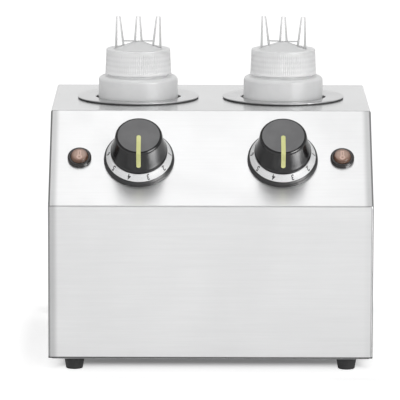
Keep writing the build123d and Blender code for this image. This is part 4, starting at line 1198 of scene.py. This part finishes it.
# ---- floor, light and camera
def make_floor():
    """A pale matt floor, which stays white away from the shadow."""
    bm = bmesh.new()
    bmesh.ops.create_grid(bm, x_segments=1, y_segments=1, size=floor_size)
    mesh = bpy.data.meshes.new("floor")
    bm.to_mesh(mesh)
    bm.free()
    material, tree, shader = start(
        "floor_paint", Base_Color=(0.8, 0.8, 0.8), Roughness=1.0, Specular_IOR_Level=0.0,
        Emission_Color=(1, 1, 1),
    )
    mesh.materials.append(material)
    rays = put(tree, "ShaderNodeLightPath").outputs
    seen = maths(tree, "MAXIMUM", rays["Is Camera Ray"], rays["Is Transmission Ray"])
    seen = maths(tree, "MAXIMUM", seen, times(tree, rays["Is Glossy Ray"], floor_gloss))
    # the whiteness sets in just under the casing's edges, and grows away from it
    split = parts(tree, object_coordinates(tree))
    beside = maths(tree, "SUBTRACT", maths(tree, "ABSOLUTE", split[0]), casing_high.x)
    before = maths(tree, "SUBTRACT", maths(tree, "ABSOLUTE", split[1]), -casing_low.y)
    outside = maths(tree, "MAXIMUM", beside, before)

    def ramp(distance, low, high, light):
        """The light that sets in between two distances."""
        return spread(tree, distance, low, high, 0.0, light)

    near = maths(tree, "ADD", ramp(before, *under_ramp), ramp(before, *front_ramp))
    near = maths(tree, "MAXIMUM", near, ramp(beside, *side_ramp))
    near = maths(tree, "ADD", near, ramp(outside, *contact_ramp))
    far = maths(tree, "MAXIMUM", ramp(beside, *side_far_ramp), ramp(outside, *far_ramp))
    light = times(tree, seen, maths(tree, "ADD", near, far))
    tree.links.new(light, shader["Emission Strength"])
    floor = placed("floor", mesh)


def make_world():
    """White to the eye; softly dimmer between the horizon and overhead to what is polished."""
    world = bpy.data.worlds.new("studio")
    world.use_nodes = True
    bpy.context.scene.world = world
    tree = world.node_tree
    background = tree.nodes["Background"]
    rays = put(tree, "ShaderNodeLightPath").outputs
    ahead, up = parts(tree, put(tree, "ShaderNodeTexCoord").outputs["Generated"])[1:3]
    brink = varied(tree, ahead, gain=studio_brink_tilt, base=studio_brink)
    brink = maths(tree, "MAXIMUM", brink, studio_brink_least)
    fall = spread(tree, up, brink, maths(tree, "ADD", brink, studio_fall_w), 1.0, studio_dim)
    rise_low, rise_high, rise = studio_rise
    polished = maths(tree, "ADD", fall, spread(tree, up, rise_low, rise_high, 0.0, rise))
    level = blend_values(tree, rays["Is Glossy Ray"], studio_matt, polished)
    seen = maths(tree, "MAXIMUM", rays["Is Camera Ray"], rays["Is Transmission Ray"])
    background.inputs["Color"].default_value = (1, 1, 1, 1)
    tree.links.new(blend_values(tree, seen, level, 1.0), background.inputs["Strength"])


def softbox(name, spot, aim, size, radiance, matt=True, gloss=True):
    """A rectangular lamp of an even radiance, turned towards a point.

    It may light matt surfaces alone, or show in glossy ones alone.
    """
    data = bpy.data.lights.new(name, "AREA")
    data.shape = "RECTANGLE"
    data.size, data.size_y = size
    data.energy = radiance * pi * size[0] * size[1]
    lamp = placed(name, data)
    lamp.visible_diffuse = matt
    lamp.visible_glossy = gloss
    away = Vector(spot) - Vector(aim)
    lamp.matrix_world = Matrix.Translation(spot) @ away.to_track_quat("Z", "Y").to_matrix().to_4x4()


def make_camera():
    """A long lens a little above the casing, turned and shifted by a hair."""
    data = bpy.data.cameras.new("camera")
    data.lens = camera_lens
    data.sensor_width = camera_sensor
    data.clip_start, data.clip_end = camera_clip
    camera = placed("camera", data)
    target = Vector((camera_side, casing_low.y, base_z + camera_height))
    back = Vector((0, -cos(camera_elevation), sin(camera_elevation)))
    turn = back.to_track_quat("Z", "Y").to_matrix().to_4x4() @ Matrix.Rotation(camera_roll, 4, "Z")
    camera.matrix_world = Matrix.Translation(target + back * camera_distance) @ turn
    bpy.context.scene.camera = camera


make_floor()
make_world()
softbox("overhead", spot=(-0.03, -0.25, 2.2), aim=(0.0, -0.1, 0.2), size=(0.72, 1.4), radiance=0.95)
softbox(
    "front", spot=(0.25, -2.3, 1.2), aim=(0.0, 0.0, 0.25), size=(1.0, 1.0), radiance=5.6, gloss=False
)
softbox(
    "right_card", spot=(1.26, -1.47, 0.6), aim=(0.0, -0.1, 0.2), size=(0.9, 0.9), radiance=13.0, matt=False
)
make_camera()
bpy.context.scene.view_settings.view_transform = "Standard"
